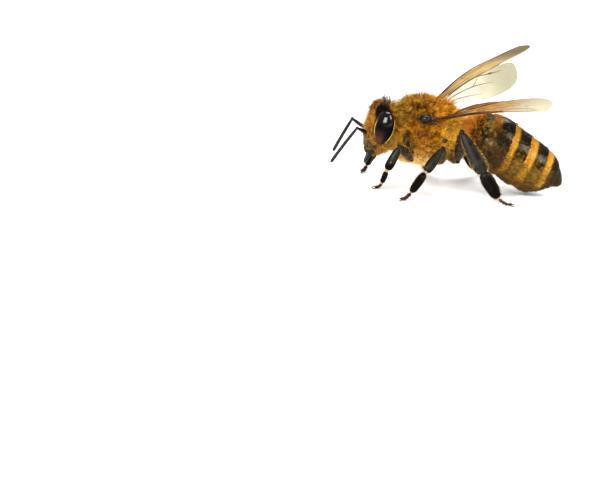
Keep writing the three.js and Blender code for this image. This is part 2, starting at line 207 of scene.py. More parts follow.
# ---------------------------------------------------------------- lights
# A white room and three cloth-fronted soft boxes: a large one high on the camera's left, a
# smaller one on its right, and one behind and above the bee.
def soft_box(name, azimuth, elevation, distance, wide, tall, watts):
    """A soft box aimed at the bee. Azimuth is measured as the camera's is."""
    side, height = math.radians(azimuth), math.radians(elevation)
    toward = Vector((
        math.sin(side) * math.cos(height), -math.cos(side) * math.cos(height), math.sin(height)))
    lamp = bpy.data.lights.new(name, "AREA")
    lamp.shape = "RECTANGLE"
    lamp.size = wide
    lamp.size_y = tall
    lamp.energy = watts
    box = bpy.data.objects.new(name, lamp)
    box.matrix_world = Matrix.Translation(bee_middle + toward * distance) @ (
        toward.to_track_quat("Z", "Y").to_matrix().to_4x4())
    on_show.link(box)


soft_box("key_light", -24, 27, 0.30, 0.21, 0.16, 1.7)
soft_box("side_light", 64, 36, 0.34, 0.12, 0.18, 1.0)
soft_box("back_light", 165, 55, 0.34, 0.20, 0.32, 1.2)
room = bpy.data.worlds.new("white_room")
room.use_nodes = True
room.node_tree.nodes["Background"].inputs["Color"].default_value = linear("#ffffff")
room.node_tree.nodes["Background"].inputs["Strength"].default_value = 0.30
bpy.context.scene.world = room


# ---------------------------------------------------------------- skin
# The hard shell of head and thorax under the hair: dark chitin, one piece in this model, blown up
# from overlapping rounded forms and smoothed where they meet. It carries the coat's markings.
SKIN_CELL = 0.055
SKIN_SMOOTHING = 10


def box_mm(*nodes):
    """Lowest and highest corners of some CAD nodes together, in millimetres."""
    boxes = [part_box(node) for node in nodes]
    low = np.min([np.array(b[0]) for b in boxes], axis=0)
    high = np.max([np.array(b[1]) for b in boxes], axis=0)
    return low / MM, high / MM


def outward(points, faces):
    """The same closed shape with its faces turned to point out."""
    points = np.asarray(points, float)
    volume = 0.0
    for face in faces:
        for k in range(1, len(face) - 1):
            a, b, c = points[face[0]], points[face[k]], points[face[k + 1]]
            volume += a @ np.cross(b, c)
    return (points, faces) if volume > 0 else (points, [tuple(reversed(f)) for f in faces])


def loft(rings):
    """A closed skin over rings of points, drawn to a point at the middle of the end rings."""
    rings = np.asarray(rings, float)
    count, sides = rings.shape[:2]
    points = np.concatenate([rings.reshape(-1, 3), rings[:1].mean(1), rings[-1:].mean(1)])
    first, last = count * sides, count * sides + 1
    faces = []
    for ring in range(count - 1):
        for side in range(sides):
            a, b = ring * sides + side, ring * sides + (side + 1) % sides
            faces.append((a, b, b + sides, a + sides))
    end = (count - 1) * sides
    for side in range(sides):
        after = (side + 1) % sides
        faces.append((first, after, side))
        faces.append((last, end + side, end + after))
    return outward(points, faces)


def ball(centre, half, sides=32, bands=20, power=2.0):
    """A closed ellipsoid, or a squarer one with a higher power."""
    polar = np.linspace(0.5 / bands, 1 - 0.5 / bands, bands) * math.pi
    angle = np.linspace(0, 2 * math.pi, sides, endpoint=False)
    bulge = 2 / power
    reach = np.sin(polar) ** bulge
    height = -np.sign(np.cos(polar)) * np.abs(np.cos(polar)) ** bulge
    rings = np.stack([
        reach[:, None] * np.cos(angle), reach[:, None] * np.sin(angle),
        np.repeat(height[:, None], sides, 1)], -1)
    return loft(rings * np.asarray(half, float) + np.asarray(centre, float))


def flow(values, share):
    """A smooth run through evenly spaced values or points, read at shares from 0 to 1."""
    values = np.asarray(values, float)
    before, after = 2 * values[:1] - values[1:2], 2 * values[-1:] - values[-2:-1]
    padded = np.concatenate([before, values, after])
    place = np.clip(share, 0, 1) * (len(values) - 1)
    cell = np.minimum(place.astype(int), len(values) - 2)
    t = (place - cell).reshape(-1, *[1] * (values.ndim - 1))
    a, b, c, d = (padded[cell + i] for i in range(4))
    curve = 2 * b + (c - a) * t + (2 * a - 5 * b + 4 * c - d) * t ** 2
    return 0.5 * (curve + (3 * b - a - 3 * c + d) * t ** 3)


def raw_object(name, shapes):
    """One object in millimetres from a list of closed shapes."""
    points, faces, base = [], [], 0
    for shape_points, shape_faces in shapes:
        points.append(shape_points)
        faces += [tuple(i + base for i in face) for face in shape_faces]
        base += len(shape_points)
    mesh = bpy.data.meshes.new(name)
    mesh.from_pydata(np.concatenate(points).tolist(), [], faces)
    mesh.shade_smooth()
    piece = bpy.data.objects.new(name, mesh)
    on_show.link(piece)
    return piece


def settle(piece, modifiers=()):
    """Applies the modifiers, so that the piece is a plain mesh."""
    for kind, settings in modifiers:
        modifier = piece.modifiers.new(kind, kind)
        for key, value in settings.items():
            setattr(modifier, key, value)
    evaluated = piece.evaluated_get(bpy.context.evaluated_depsgraph_get())
    mesh = bpy.data.meshes.new_from_object(evaluated)
    piece.modifiers.clear()
    piece.data = mesh
    mesh.shade_smooth()
    return piece


def read(items, field, width, kind=float):
    """One field of every item of a mesh, as rows of `width` numbers."""
    values = np.zeros(len(items) * width, kind)
    items.foreach_get(field, values)
    return values.reshape(-1, width)


def read_points(mesh):
    return read(mesh.vertices, "co", 3)


def read_normals(mesh):
    return read(mesh.vertex_normals, "vector", 3)


def write_points(mesh, points):
    mesh.vertices.foreach_set("co", np.ascontiguousarray(points).ravel())
    mesh.update()


def place_piece(piece, material, slot, *nodes):
    """Brings a piece from millimetres to metres, gives it its finish and hands it to the frame."""
    write_points(piece.data, read_points(piece.data) * MM)
    piece.data.materials.clear()
    piece.data.materials.append(material)
    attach(piece, "root")
    if nodes:
        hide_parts(*nodes)
    return piece


def build_piece(name, shapes, material, slot, *nodes):
    return place_piece(raw_object(name, shapes), material, slot, *nodes)


def spot(tree, place, centre, half, soft=0.5):
    """A soft-edged ellipsoid in millimetres: 1 inside, 0 outside."""
    away = add(tree, "ShaderNodeVectorMath", [place, tuple(centre)], operation="SUBTRACT")
    scaled = add(tree, "ShaderNodeVectorMath", [away, tuple(half)], operation="DIVIDE")
    length = add(tree, "ShaderNodeVectorMath", [scaled], operation="LENGTH")
    return fade(tree, (length, 1 + soft / 2, 1 - soft / 2))


THORAX_NODES = ("prothorax", "mesothorax", "scutellum", "propodeum")
thorax_low, thorax_high = box_mm(*THORAX_NODES)
thorax = (thorax_low + thorax_high) / 2
head_low, head_high = box_mm("head")
head_size = head_high - head_low
middle_y = (head_low[1] + head_high[1]) / 2
neck_low, neck_high = box_mm("neck")
waist_low, waist_high = box_mm("petiole")
neck_x = (neck_low[0] + neck_high[0]) / 2
waist_x = (waist_low[0] + waist_high[0]) / 2

# Thorax forms: place from the thorax's middle, and half size.
THORAX_FORMS = {
    "scutum": ((-0.15, 0.0, 0.48), (1.52, 1.62, 1.56)),
    "shoulders": ((-0.72, 0.0, 0.95), (0.98, 1.34, 1.02)),
    "left_flank": ((-0.10, -0.35, -0.46), (1.50, 1.38, 1.58)),
    "right_flank": ((-0.10, 0.35, -0.46), (1.50, 1.38, 1.58)),
    "collar": ((-1.02, 0.0, 0.15), (0.74, 1.18, 1.42)),
    "breast": ((-0.88, 0.0, -1.00), (0.90, 1.20, 1.05)),
    "shield": ((0.98, 0.0, 1.18), (0.66, 1.06, 0.58)),
    "rear": ((1.12, 0.0, -0.20), (0.84, 1.24, 1.52)),
    "rear_top": ((1.24, 0.0, 0.46), (0.74, 1.10, 0.98)),
}
# Head levels from the mouth up: share of the head's height, and front, back and half width as
# shares of its size.
HEAD_LEVELS = [
    (0.04, 0.14, 0.56, 0.12), (0.10, 0.09, 0.68, 0.20), (0.20, 0.055, 0.82, 0.31),
    (0.34, 0.055, 0.92, 0.41), (0.50, 0.105, 0.93, 0.465), (0.66, 0.17, 0.93, 0.475),
    (0.78, 0.215, 0.91, 0.43), (0.86, 0.26, 0.80, 0.34), (0.925, 0.33, 0.66, 0.19),
]
LEVEL_SIDES = 40

levels = flow(HEAD_LEVELS, np.linspace(0, 1, 26))
turn = np.linspace(0, 2 * math.pi, LEVEL_SIDES, endpoint=False)
square_x = np.sign(np.cos(turn)) * np.abs(np.cos(turn)) ** 0.84
square_y = np.sign(np.sin(turn)) * np.abs(np.sin(turn)) ** 0.84
head_rings = []
for height, front, back, half in levels:
    x = head_low[0] + head_size[0] * ((front + back) / 2 + (back - front) / 2 * square_x)
    y = middle_y + head_size[1] * half * square_y
    head_rings.append(np.stack([x, y, np.full_like(x, head_low[2] + head_size[2] * height)], -1))

forms = [ball(thorax + np.array(place), half, power=2.25) for place, half in THORAX_FORMS.values()]
forms.append(loft(head_rings))
forms.append(ball((neck_low + neck_high) / 2, (0.62, 0.6, 0.6)))
forms.append(ball((waist_low + waist_high) / 2, (0.62, 0.40, 0.46)))
skin = raw_object("skin", forms)
settle(skin, [
    ("REMESH", {"mode": "VOXEL", "voxel_size": SKIN_CELL}),
    ("SMOOTH", {"factor": 0.5, "iterations": SKIN_SMOOTHING}),
])
skin_points = read_points(skin.data)
skin_normals = read_normals(skin.data)
skin_ground = skin.data.copy()

# Markings: each lies at a share of the head's box or at a distance from the thorax's middle; then
# its half size, how soft its edge is, and its colour.
HEAD_MARKINGS = [
    ("head_tan", (0.40, 0.5, 0.5), (1.35, 2.2, 2.4), 0.3, "#a4702c"),
    ("cheek_gold", (0.92, 0.5, 0.25), (0.62, 2.0, 1.0), 0.8, "#b88a3c"),
    ("lower_face_olive", (0.10, 0.5, 0.22), (0.46, 1.1, 0.85), 0.9, "#7e7444"),
    ("crown_brown", (0.34, 0.5, 0.93), (0.90, 1.05, 0.66), 0.7, "#643a15"),
    ("eye_top_black", (0.47, 0.06, 0.84), (0.60, 0.86, 0.70), 0.5, "#0c0806"),
    ("back_red", (0.98, 0.5, 0.72), (0.40, 1.5, 0.95), 0.7, "#8c4410"),
    ("cheek_purple", (0.30, 0.12, 0.15), (0.30, 0.5, 0.30), 1.0, "#4c3e3c"),
    ("muzzle_dark", (0.02, 0.5, 0.16), (0.22, 0.8, 0.85), 0.8, "#2e2a1a"),
    ("mouth_dark", (0.22, 0.5, 0.02), (0.36, 1.0, 0.36), 0.8, "#3a3019"),
]
THORAX_MARKINGS = [
    ("lower_flank_gold", (0.1, 0.0, -1.9), (2.6, 3.0, 1.35), 0.9, "#cc984e"),
    ("breast_pale", (-0.6, 0.0, -2.2), (1.6, 2.4, 0.85), 0.9, "#f8d486"),
    ("collar_olive", (-1.75, 0.0, 1.2), (0.8, 1.9, 1.4), 0.9, "#845e1e"),
    ("back_disc_brown", (-0.45, 0.0, 1.75), (1.05, 1.75, 0.95), 0.8, "#6c4010"),
    ("upper_rear_orange", (0.75, 0.0, 2.35), (0.75, 1.4, 0.62), 0.8, "#a0640f"),
    ("shield_rim_red", (1.35, 0.0, 1.75), (0.45, 1.3, 0.42), 0.8, "#96580f"),
    ("rear_orange", (1.55, 0.0, 0.35), (0.85, 2.4, 1.25), 0.8, "#e6b048"),
    ("cap_shade", (-0.30, -1.9, 1.00), (0.85, 0.6, 0.45), 0.9, "#432508"),
    ("shoulder_orange", (-0.90, -1.8, 0.45), (0.42, 0.8, 0.34), 0.9, "#b8701c"),
    ("flank_brown", (-0.1, -1.9, 0.05), (0.70, 0.8, 0.45), 1.2, "#94591c"),
    # Painted shade: a dark band down the front of each flank, by the fore hips, stands in for the shadow
    # of the fore legs.
    ("painted_hip_shadow", (-1.40, -1.5, -0.55), (0.27, 0.8, 0.75), 0.9, "#3e2c18"),
    ("painted_hip_shadow_low", (-1.10, -1.5, -1.30), (0.28, 0.8, 0.75), 0.9, "#3e2c18"),
    ("breathing_pit", (1.10, -1.45, -0.32), (0.20, 0.7, 0.17), 0.9, "#2c2a1a"),
]


def body_markings(tree, place):
    """The colours of head and thorax, shared by skin and coat. What lies aside is on both sides."""
    clouds = add(tree, "ShaderNodeTexNoise", [place, 1 / 0.7, 3.0])
    colour = laid(tree, "#ae6a18", "#c6882a", (clouds, 0.30, 0.70))
    for start, size, middle, markings in (
            (head_low, head_size, 0.5, HEAD_MARKINGS), (thorax, 1.0, 0.0, THORAX_MARKINGS)):
        for label, (x, y, z), half, soft, tint in markings:
            for across in dict.fromkeys((y, 2 * middle - y)):
                centre = start + size * np.array([x, across, z])
                colour = laid(tree, colour, tint, spot(tree, place, centre, half, soft))
    return colour


def downy_chitin():
    """Insect shell under the hair: hard and waxy, the coat's colours sunk deep in brown, with a
    fine grain and a soft gloss."""
    material, tree, shader, place = new_finish("downy_chitin", Roughness=0.5, Specular_IOR_Level=0.25)
    deep = laid(tree, "#1a1008", "#33200d", add(tree, "ShaderNodeTexNoise", [place, 1 / 0.3]))
    markings = body_markings(tree, place)
    lightness = add(tree, "ShaderNodeRGBToBW", [markings])
    colour = laid(tree, deep, markings, (lightness, 0.3, 0.55, 0.22, 0.66))
    dress(tree, shader, colour, add(tree, "ShaderNodeTexNoise", [place, 1 / 0.045]), 0.01)
    return material


place_piece(skin, downy_chitin(), "coat", *THORAX_NODES, "head", "neck", "petiole")


# ---------------------------------------------------------------- coat of the thorax
# Branched golden hairs, each about half a millimetre long, stand almost upright all over the
# thorax. They grow from the skin in small tufts; a worker's coat is paler at the tips.
HAIR_RADIUS = 0.0095
TUFT_SPREAD = 0.075
BRANCH_RADIUS = 0.0055
PATCH = 0.003
COAT_FIELDS = {"growth": "FLOAT", "reach": "FLOAT", "lie": "FLOAT_VECTOR"}


def hair(root, tip, radius, bow, around=3):
    """One closed hair, thickest at the root and sharp at the tip, bowed in the middle. Heights
    run from 0 at the skin to 1 at the tip."""
    root, tip = np.array(root, float), np.array(tip, float)
    middle = (root + tip) / 2 + np.array(bow, float)
    angle = np.arange(around) * 2 * math.pi / around
    ring = np.stack([np.cos(angle), np.sin(angle), np.zeros(around)], -1)
    points = np.concatenate([root + ring * radius, middle + ring * radius * 0.72, [tip]])
    faces = [tuple(range(around))[::-1]]
    for side in range(around):
        after = (side + 1) % around
        faces.append((side, after, around + after, around + side))
        faces.append((around + side, around + after, 2 * around))
    return outward(points, faces)


def branch(foot, tip, radius):
    """A side branch: a closed needle with three sides."""
    foot, tip = np.array(foot, float), np.array(tip, float)
    along = (tip - foot) * np.array([1, 1, 0])
    side = np.array([-along[1], along[0], 0]) / max(np.linalg.norm(along), 1e-9) * radius
    lift = np.array([0, 0, 0.03])
    points = np.array([foot + side, foot - side, foot + lift, tip])
    return outward(points, [(0, 1, 2), (0, 3, 1), (1, 3, 2), (2, 3, 0)])


def tuft_object(name, shapes):
    """A tuft to be repeated. It carries how far up the hair each point is, and a small square
    map of itself."""
    tuft = raw_object(name, shapes)
    points = read_points(tuft.data)
    up = tuft.data.attributes.new("up_hair", "FLOAT", "POINT")
    up.data.foreach_set("value", np.clip(points[:, 2], 0, 1).astype(np.float32))
    loops = read(tuft.data.loops, "vertex_index", 1, int)[:, 0]
    wide = np.abs(points[:, :2]).max()
    across = 0.5 + 0.5 * points[loops, 0] / wide
    patch = tuft.data.uv_layers.new(name="OFBake")
    patch.data.foreach_set("uv", np.stack([across, points[loops, 2]], -1).ravel())
    on_show.unlink(tuft)
    return tuft


def lock_of_three(seed):
    """Three hairs from one root, leaning apart."""
    dice = np.random.default_rng(seed)
    shapes = []
    for number in range(3):
        angle = (number + dice.uniform(-0.3, 0.3)) * 2 * math.pi / 3
        lean = np.array([math.cos(angle), math.sin(angle), 0]) * TUFT_SPREAD
        tip = lean * dice.uniform(0.7, 1.3) + [0, 0, dice.uniform(0.75, 1.0)]
        shapes.append(hair(lean * 0.35, tip, HAIR_RADIUS, lean * dice.uniform(-0.3, 0.35)))
    return tuft_object("lock_of_three", shapes)


def feathered_hair(seed):
    """One long hair with short side branches, as bees have for carrying pollen."""
    dice = np.random.default_rng(seed)
    shapes = [hair((0, 0, 0), (0.03, 0, 1), HAIR_RADIUS * 0.8, (0.02, 0, 0))]
    for number in range(6):
        height = 0.28 + 0.11 * number
        angle = number * 2.4 + dice.uniform(-0.4, 0.4)
        reach = 0.045 * (1.15 - height)
        tip = (reach * math.cos(angle) * 1.6, reach * math.sin(angle) * 1.6, height + 0.16)
        shapes.append(branch((0.02, 0, height), tip, BRANCH_RADIUS))
    return tuft_object("feathered_hair", shapes)


def coat_tree():
    """Geometry nodes that plant tufts on a skin. The skin carries how thickly they grow, how
    long they are and which way they lie. Neighbours lean and shade together in clumps."""
    tree = bpy.data.node_groups.new("coat", "GeometryNodeTree")
    sockets = {}
    for label, kind in (
            ("Skin", "Geometry"), ("Tuft", "Object"), ("Tufts per mm2", "Float"),
            ("Scatter", "Float"), ("Thickness", "Float"), ("Uneven length", "Float"),
            ("Clump size", "Float"), ("Clump lean", "Float"), ("Seed", "Int"), ("Finish", "Material")):
        socket = tree.interface.new_socket(label, in_out="INPUT", socket_type="NodeSocket" + kind)
        sockets[label] = socket.identifier
    tree.interface.new_socket("Coat", in_out="OUTPUT", socket_type="NodeSocketGeometry")
    given = add(tree, "NodeGroupInput").outputs
    growth, reach, lie = (add(tree, "GeometryNodeInputNamedAttribute", [label], data_type=kind)
                          for label, kind in COAT_FIELDS.items())
    place = add(tree, "GeometryNodeInputPosition")
    density = add(tree, "ShaderNodeMath", [growth, given["Tufts per mm2"]], operation="MULTIPLY")
    roots = add(tree, "GeometryNodeDistributePointsOnFaces",
                {"Mesh": given["Skin"], "Density": density, "Seed": given["Seed"]},
                distribute_method="RANDOM")

    def dice(data_type, low, high, offset):
        seed = add(tree, "ShaderNodeMath", [given["Seed"], offset], operation="ADD")
        return add(tree, "FunctionNodeRandomValue", {0: low, 1: high, "Seed": seed}, data_type=data_type)

    fineness = add(tree, "ShaderNodeMath", [1.0, given["Clump size"]], operation="DIVIDE")
    clump = add(tree, "ShaderNodeTexNoise", [place, fineness, 1.0])
    clump_share = fade(tree, (clump, 0.36, 0.64))
    tone = add(tree, "ShaderNodeMix", [0.6, dice("FLOAT", 0.0, 1.0, 11), clump_share], data_type="FLOAT")
    shaded = add(tree, "GeometryNodeStoreNamedAttribute",
                 {"Geometry": roots, "Name": "shade", "Value": tone}, data_type="FLOAT", domain="POINT")
    rooted = add(tree, "GeometryNodeStoreNamedAttribute",
                 {"Geometry": shaded, "Name": "root", "Value": place},
                 data_type="FLOAT_VECTOR", domain="POINT")
    anyway = dice("FLOAT_VECTOR", (-1, -1, -1), (1, 1, 1), 23)
    astray = add(tree, "ShaderNodeVectorMath", [anyway, given["Scatter"]], operation="SCALE")
    centred = add(tree, "ShaderNodeVectorMath", [clump.outputs["Color"], (0.5, 0.5, 0.5)],
                  operation="SUBTRACT")
    leaning = add(tree, "ShaderNodeVectorMath", [centred, given["Clump lean"]], operation="SCALE")
    together = add(tree, "ShaderNodeVectorMath", [astray, leaning], operation="ADD")
    aim = add(tree, "ShaderNodeVectorMath", [lie, together], operation="ADD")
    upright = add(tree, "FunctionNodeAlignRotationToVector", {"Vector": aim}, axis="Z")
    spin = add(tree, "FunctionNodeAxisAngleToRotation",
               {"Axis": (0, 0, 1), "Angle": dice("FLOAT", 0.0, 2 * math.pi, 37)})
    turned = add(tree, "FunctionNodeRotateRotation", [upright, spin], rotation_space="LOCAL")
    shortest = add(tree, "ShaderNodeMath", [1.0, given["Uneven length"]], operation="SUBTRACT")
    share = add(tree, "ShaderNodeMapRange", [dice("FLOAT", 0.0, 1.0, 53), 0.0, 1.0, shortest, 1.0])
    clumped = add(tree, "ShaderNodeMapRange", [clump_share, 0.0, 1.0, 0.8, 1.12])
    grown = add(tree, "ShaderNodeMath", [share, clumped], operation="MULTIPLY")
    length = add(tree, "ShaderNodeMath", [grown, reach], operation="MULTIPLY")
    scale = add(tree, "ShaderNodeCombineXYZ", [given["Thickness"], given["Thickness"], length])
    model = add(tree, "GeometryNodeObjectInfo", {"Object": given["Tuft"]}).outputs["Geometry"]
    planted = add(tree, "GeometryNodeInstanceOnPoints",
                  {"Points": rooted, "Instance": model, "Rotation": turned, "Scale": scale})
    real = add(tree, "GeometryNodeRealizeInstances", [planted])
    dyed = add(tree, "GeometryNodeSetMaterial", {"Geometry": real, "Material": given["Finish"]})
    add(tree, "NodeGroupOutput", [dyed])
    return tree, sockets


COAT_TREE, COAT_SOCKETS = coat_tree()


def unit(vectors):
    return vectors / np.maximum(np.linalg.norm(vectors, axis=-1, keepdims=True), 1e-9)


def round_map(middle):
    """Equal-area map of a rounded skin: turn about the upright through its middle, and height."""
    def home(roots):
        away = unit(roots - middle)
        around = np.arctan2(away[:, 1], away[:, 0]) / (2 * math.pi) + 0.5
        return np.stack([around, 0.5 + 0.5 * away[:, 2]], -1)
    return home


def grow_coat(name, ground, fields, tuft, finish, home, per_mm2, seed,
              scatter=0.22, thickness=1.0, uneven=0.45, clump_size=0.13, clump_lean=1.0):
    """Grows one coat piece on `ground`, a mesh in millimetres. `fields` are growth, reach and lie
    for each of its points, and `home` maps a root to its place on the unwrapped skin."""
    piece = bpy.data.objects.new(name, ground.copy())
    on_show.link(piece)
    for (label, kind), field in zip(COAT_FIELDS.items(), fields):
        attribute = piece.data.attributes.new(label, kind, "POINT")
        attribute.data.foreach_set("value" if kind == "FLOAT" else "vector",
                                   np.asarray(field, np.float32).ravel())
    modifier = piece.modifiers.new("coat", "NODES")
    modifier.node_group = COAT_TREE
    for label, value in (("Tuft", tuft), ("Tufts per mm2", float(per_mm2)),
                         ("Scatter", float(scatter)), ("Thickness", float(thickness)),
                         ("Uneven length", float(uneven)), ("Clump size", float(clump_size)),
                         ("Clump lean", float(clump_lean)), ("Seed", seed), ("Finish", finish)):
        modifier[COAT_SOCKETS[label]] = value
    evaluated = piece.evaluated_get(bpy.context.evaluated_depsgraph_get())
    mesh = bpy.data.meshes.new_from_object(evaluated)
    piece.modifiers.clear()
    piece.data = mesh
    mesh.name = name

    roots = read(mesh.attributes["root"].data, "vector", 3)
    loops = read(mesh.loops, "vertex_index", 1, int)[:, 0]
    layer = mesh.uv_layers["OFBake"].data
    place = 0.01 + 0.97 * home(roots)
    layer.foreach_set("uv", (place[loops] + (read(layer, "uv", 2) - 0.5) * PATCH).ravel())
    for label in ("root", *COAT_FIELDS):
        if label in mesh.attributes:
            mesh.attributes.remove(mesh.attributes[label])
    return place_piece(piece, finish, "coat")


def ramp(values, low, high):
    """0 below low and 1 above high, or the other way round, with a soft step between."""
    t = np.clip((values - low) / (high - low), 0, 1)
    return t * t * (3 - 2 * t)


def near(points, centre, half):
    """1 at the centre of an ellipsoid, falling to 0 at its surface."""
    away = np.linalg.norm((points - np.asarray(centre)) / np.asarray(half, float), axis=1)
    return ramp(away, 1.0, 0.72)


def swept(normals, direction, lay):
    """The way hairs lie: off the skin, and bent toward a direction along it."""
    direction = np.broadcast_to(np.asarray(direction, float), normals.shape)
    along = direction - normals * np.sum(direction * normals, axis=1, keepdims=True)
    return unit(normals + unit(along) * np.asarray(lay, float).reshape(-1, 1))


def branched_hair(name, markings, tip_tint="#efc26c", tip_share=0.6):
    """Dry branched hair: a matt fibre, painted dark toward the root as shade deep in the coat,
    that pales toward the tip. Tufts differ in tone, so that the coat looks streaked."""
    material, tree, shader, place = new_finish(name, Roughness=0.7, Specular_IOR_Level=0.08)
    marking = markings(tree, place)
    up = add(tree, "ShaderNodeAttribute", attribute_name="up_hair").outputs["Fac"]
    shade = add(tree, "ShaderNodeAttribute", attribute_name="shade").outputs["Fac"]
    deep = add(tree, "ShaderNodeMix", [1.0, marking, (0.32, 0.22, 0.13, 1.0)],
               data_type="RGBA", blend_type="MULTIPLY")
    # Painted shade: each hair runs dark at its root, where shade falls deep in the coat.
    colour = laid(tree, deep, marking, (up, 0.0, 0.7))
    above_black = add(tree, "ShaderNodeRGBToBW", [colour])
    colour = laid(tree, colour, tip_tint, (up, 0.3, 1.1, 0.0, tip_share), (shade, 0.5, 0.95),
                  (above_black, 0.004, 0.02))
    lightness = add(tree, "ShaderNodeRGBToBW", [marking])
    colour = laid(tree, colour, deep, (shade, 0.5, 0.2), (lightness, 0.3, 0.55, 0.85, 0.32))
    brightness = fade(tree, (shade, 0.0, 1.0, 0.7, 1.5))
    dress(tree, shader, add(tree, "ShaderNodeHueSaturation",
                            {"Saturation": 1.04, "Value": brightness, "Color": colour}))
    return material


SIDES = {"left": -1, "right": 1}
WING_ROOT_BEHIND_CAP = 0.71
SEAM_BEHIND_NECK = 0.12
cap_low, cap_high = box_mm("tegula_left")
cap_half = (cap_high - cap_low) / 2
cap_out = middle_y - (cap_low[1] + cap_high[1]) / 2
cap_x, cap_z = (cap_low[0] + cap_high[0]) / 2, (cap_low[2] + cap_high[2]) / 2

away = skin_points - thorax
on_thorax = (skin_points[:, 0] > neck_x + SEAM_BEHIND_NECK) & (skin_points[:, 0] < waist_x + 0.1)
bare = np.zeros(len(skin_points))
for side in SIDES.values():
    cap = (cap_x, middle_y + side * cap_out, cap_z)
    root = (cap_x + WING_ROOT_BEHIND_CAP, middle_y + side * cap_out * 0.93, cap_z)
    bare = np.maximum(bare, near(skin_points, cap, (0.42, 0.5, 0.30)))
    bare = np.maximum(bare, near(skin_points, root, (0.42, 0.5, 0.22)))
    bare = np.maximum(bare, near(away, (1.10, side * 1.4, -0.32), (0.24, 0.6, 0.2)))
for pair in ("fore", "mid", "hind"):
    for side in SIDES:
        hip_low, hip_high = box_mm(f"coxa_{pair}_{side}")
        bare = np.maximum(bare, near(skin_points, (hip_low + hip_high) / 2, (hip_high - hip_low) * 0.4))

front = away[:, 0] < -1.05
rear = away[:, 0] > 0.95
back = ~front & ~rear & (away[:, 2] > 0.75)
flanks = ~front & ~rear & ~back
THORAX_COATS = {
    "coat_collar": front, "coat_back": back, "coat_rear": rear,
    "coat_left_flank": flanks & (away[:, 1] < 0), "coat_right_flank": flanks & (away[:, 1] >= 0),
}
reach = 0.29 + 0.10 * ramp(away[:, 2], 0.2, 1.6) - 0.06 * ramp(away[:, 2], -1.0, -1.9)
reach = reach - 0.06 * ramp(np.abs(away[:, 1]), 1.0, 1.7) + 0.12 * ramp(away[:, 0], -1.0, -1.6)
reach = reach + (0.10 + 0.16 * ramp(away[:, 2], 0.0, 0.6)) * ramp(away[:, 0], 1.3, 1.8)
lie = swept(skin_normals, (1.0, 0.0, -0.45), 0.38 * ramp(away[:, 0], -1.3, -0.9))
erect = swept(skin_normals, (1.0, 0.0, 0.0), 0.12)
thorax_hair = branched_hair("golden_branched_hair", body_markings)
thorax_map = round_map(thorax)
lock = lock_of_three(5)
feather = feathered_hair(6)
single_hair = tuft_object("single_hair", [hair((0, 0, 0), (0.02, 0, 1), 0.010, (0.012, 0, 0))])
streak = tuft_object("streak", [
    hair((0, 0, 0), (0.05, 0.01, 1), 0.021, (0.04, 0, 0)),
    hair((0.02, 0.02, 0), (0.03, 0.03, 0.9), 0.018, (0.02, 0.03, 0))])
for order, (name, region) in enumerate(THORAX_COATS.items()):
    growth = (1 - bare) * (region & on_thorax)
    grow_coat(name, skin_ground, (growth, reach, lie), lock, thorax_hair, thorax_map, 340, 100 + order,
              uneven=0.6, clump_size=0.2)
grow_coat("coat_streaks", skin_ground, ((1 - bare) * on_thorax, reach * 1.25, lie), streak,
          thorax_hair, thorax_map, 170, 120, scatter=0.3, uneven=0.4, clump_size=0.2, clump_lean=1.1)
grow_coat("coat_long_hairs", skin_ground, ((1 - bare) * on_thorax, reach * 2.3, erect), feather,
          thorax_hair, thorax_map, 62, 121, scatter=0.3, thickness=1.1, uneven=0.75, clump_lean=0.5)


# ---------------------------------------------------------------- compound eyes
# Two tall bulging eyes of thousands of six-sided lenses: clear hard cornea over black pigment,
# smooth and glossy. A thin pale line of skin frames each one.
FACET = 0.045          # drawn larger than life, so that it shows
EYE_TAPER = 0.16
EYE_RIM_RADIUS = 0.034
REAR_RIM_RADIUS = 0.062
RIM_PROUD = 0.05
REAR_RIM_PROUD = 0.24
RIM_STOPS = 80


def node_points(node):
    return read_points(frame["nodes"][node].data) / MM


def principal_axes(points):
    """Middle of a solid, and its three directions from the longest to the shortest."""
    middle = (points.min(0) + points.max(0)) / 2
    directions = np.linalg.svd(points - points.mean(0), full_matrices=False)[2]
    return middle, directions


def facing(direction, hint):
    return direction if direction @ np.asarray(hint, float) > 0 else -direction


def eye_cornea():
    """Cornea: black beneath a clear gloss, painted browner toward the lower rim, most in front, as a
    warm reflection. The lenses are drawn larger than they are, so that they show."""
    material, tree, shader, place = new_finish("eye_cornea", IOR=1.5, Specular_IOR_Level=0.3)
    parts = add(tree, "ShaderNodeSeparateXYZ", [place]).outputs
    tall = head_size[2]
    low = head_low[2] + tall * 0.26
    gloss_low = head_low[2] + tall * 0.59
    middle = head_low[0] + head_size[0] * 0.5
    # Painted reflection: the lower part of the eye, most of all in front, is browner.
    lower = laid(tree, "#361813", "#55341e", add(tree, "ShaderNodeTexNoise", [place, 1 / 0.28]))
    lower = laid(tree, lower, "#0e0e16", (parts["X"], middle - 0.18, middle + 0.22))
    brown = fade(tree, (parts["Z"], low, low + tall * 0.34, 1.0, 0.0))
    lenses = add(tree, "ShaderNodeTexVoronoi", {"Vector": place, "Scale": 1 / FACET, "Randomness": 0.25})
    dress(tree, shader, laid(tree, "#050506", lower, brown), lenses, -0.004, 0.25)
    gloss = fade(tree, (parts["Z"], gloss_low, gloss_low + tall * 0.12, 0.02, 0.40))
    fill(tree, shader, {"Roughness": fade(tree, (brown, 0.0, 1.0, 0.10, 0.42)),
                        "Specular IOR Level": gloss})
    return material


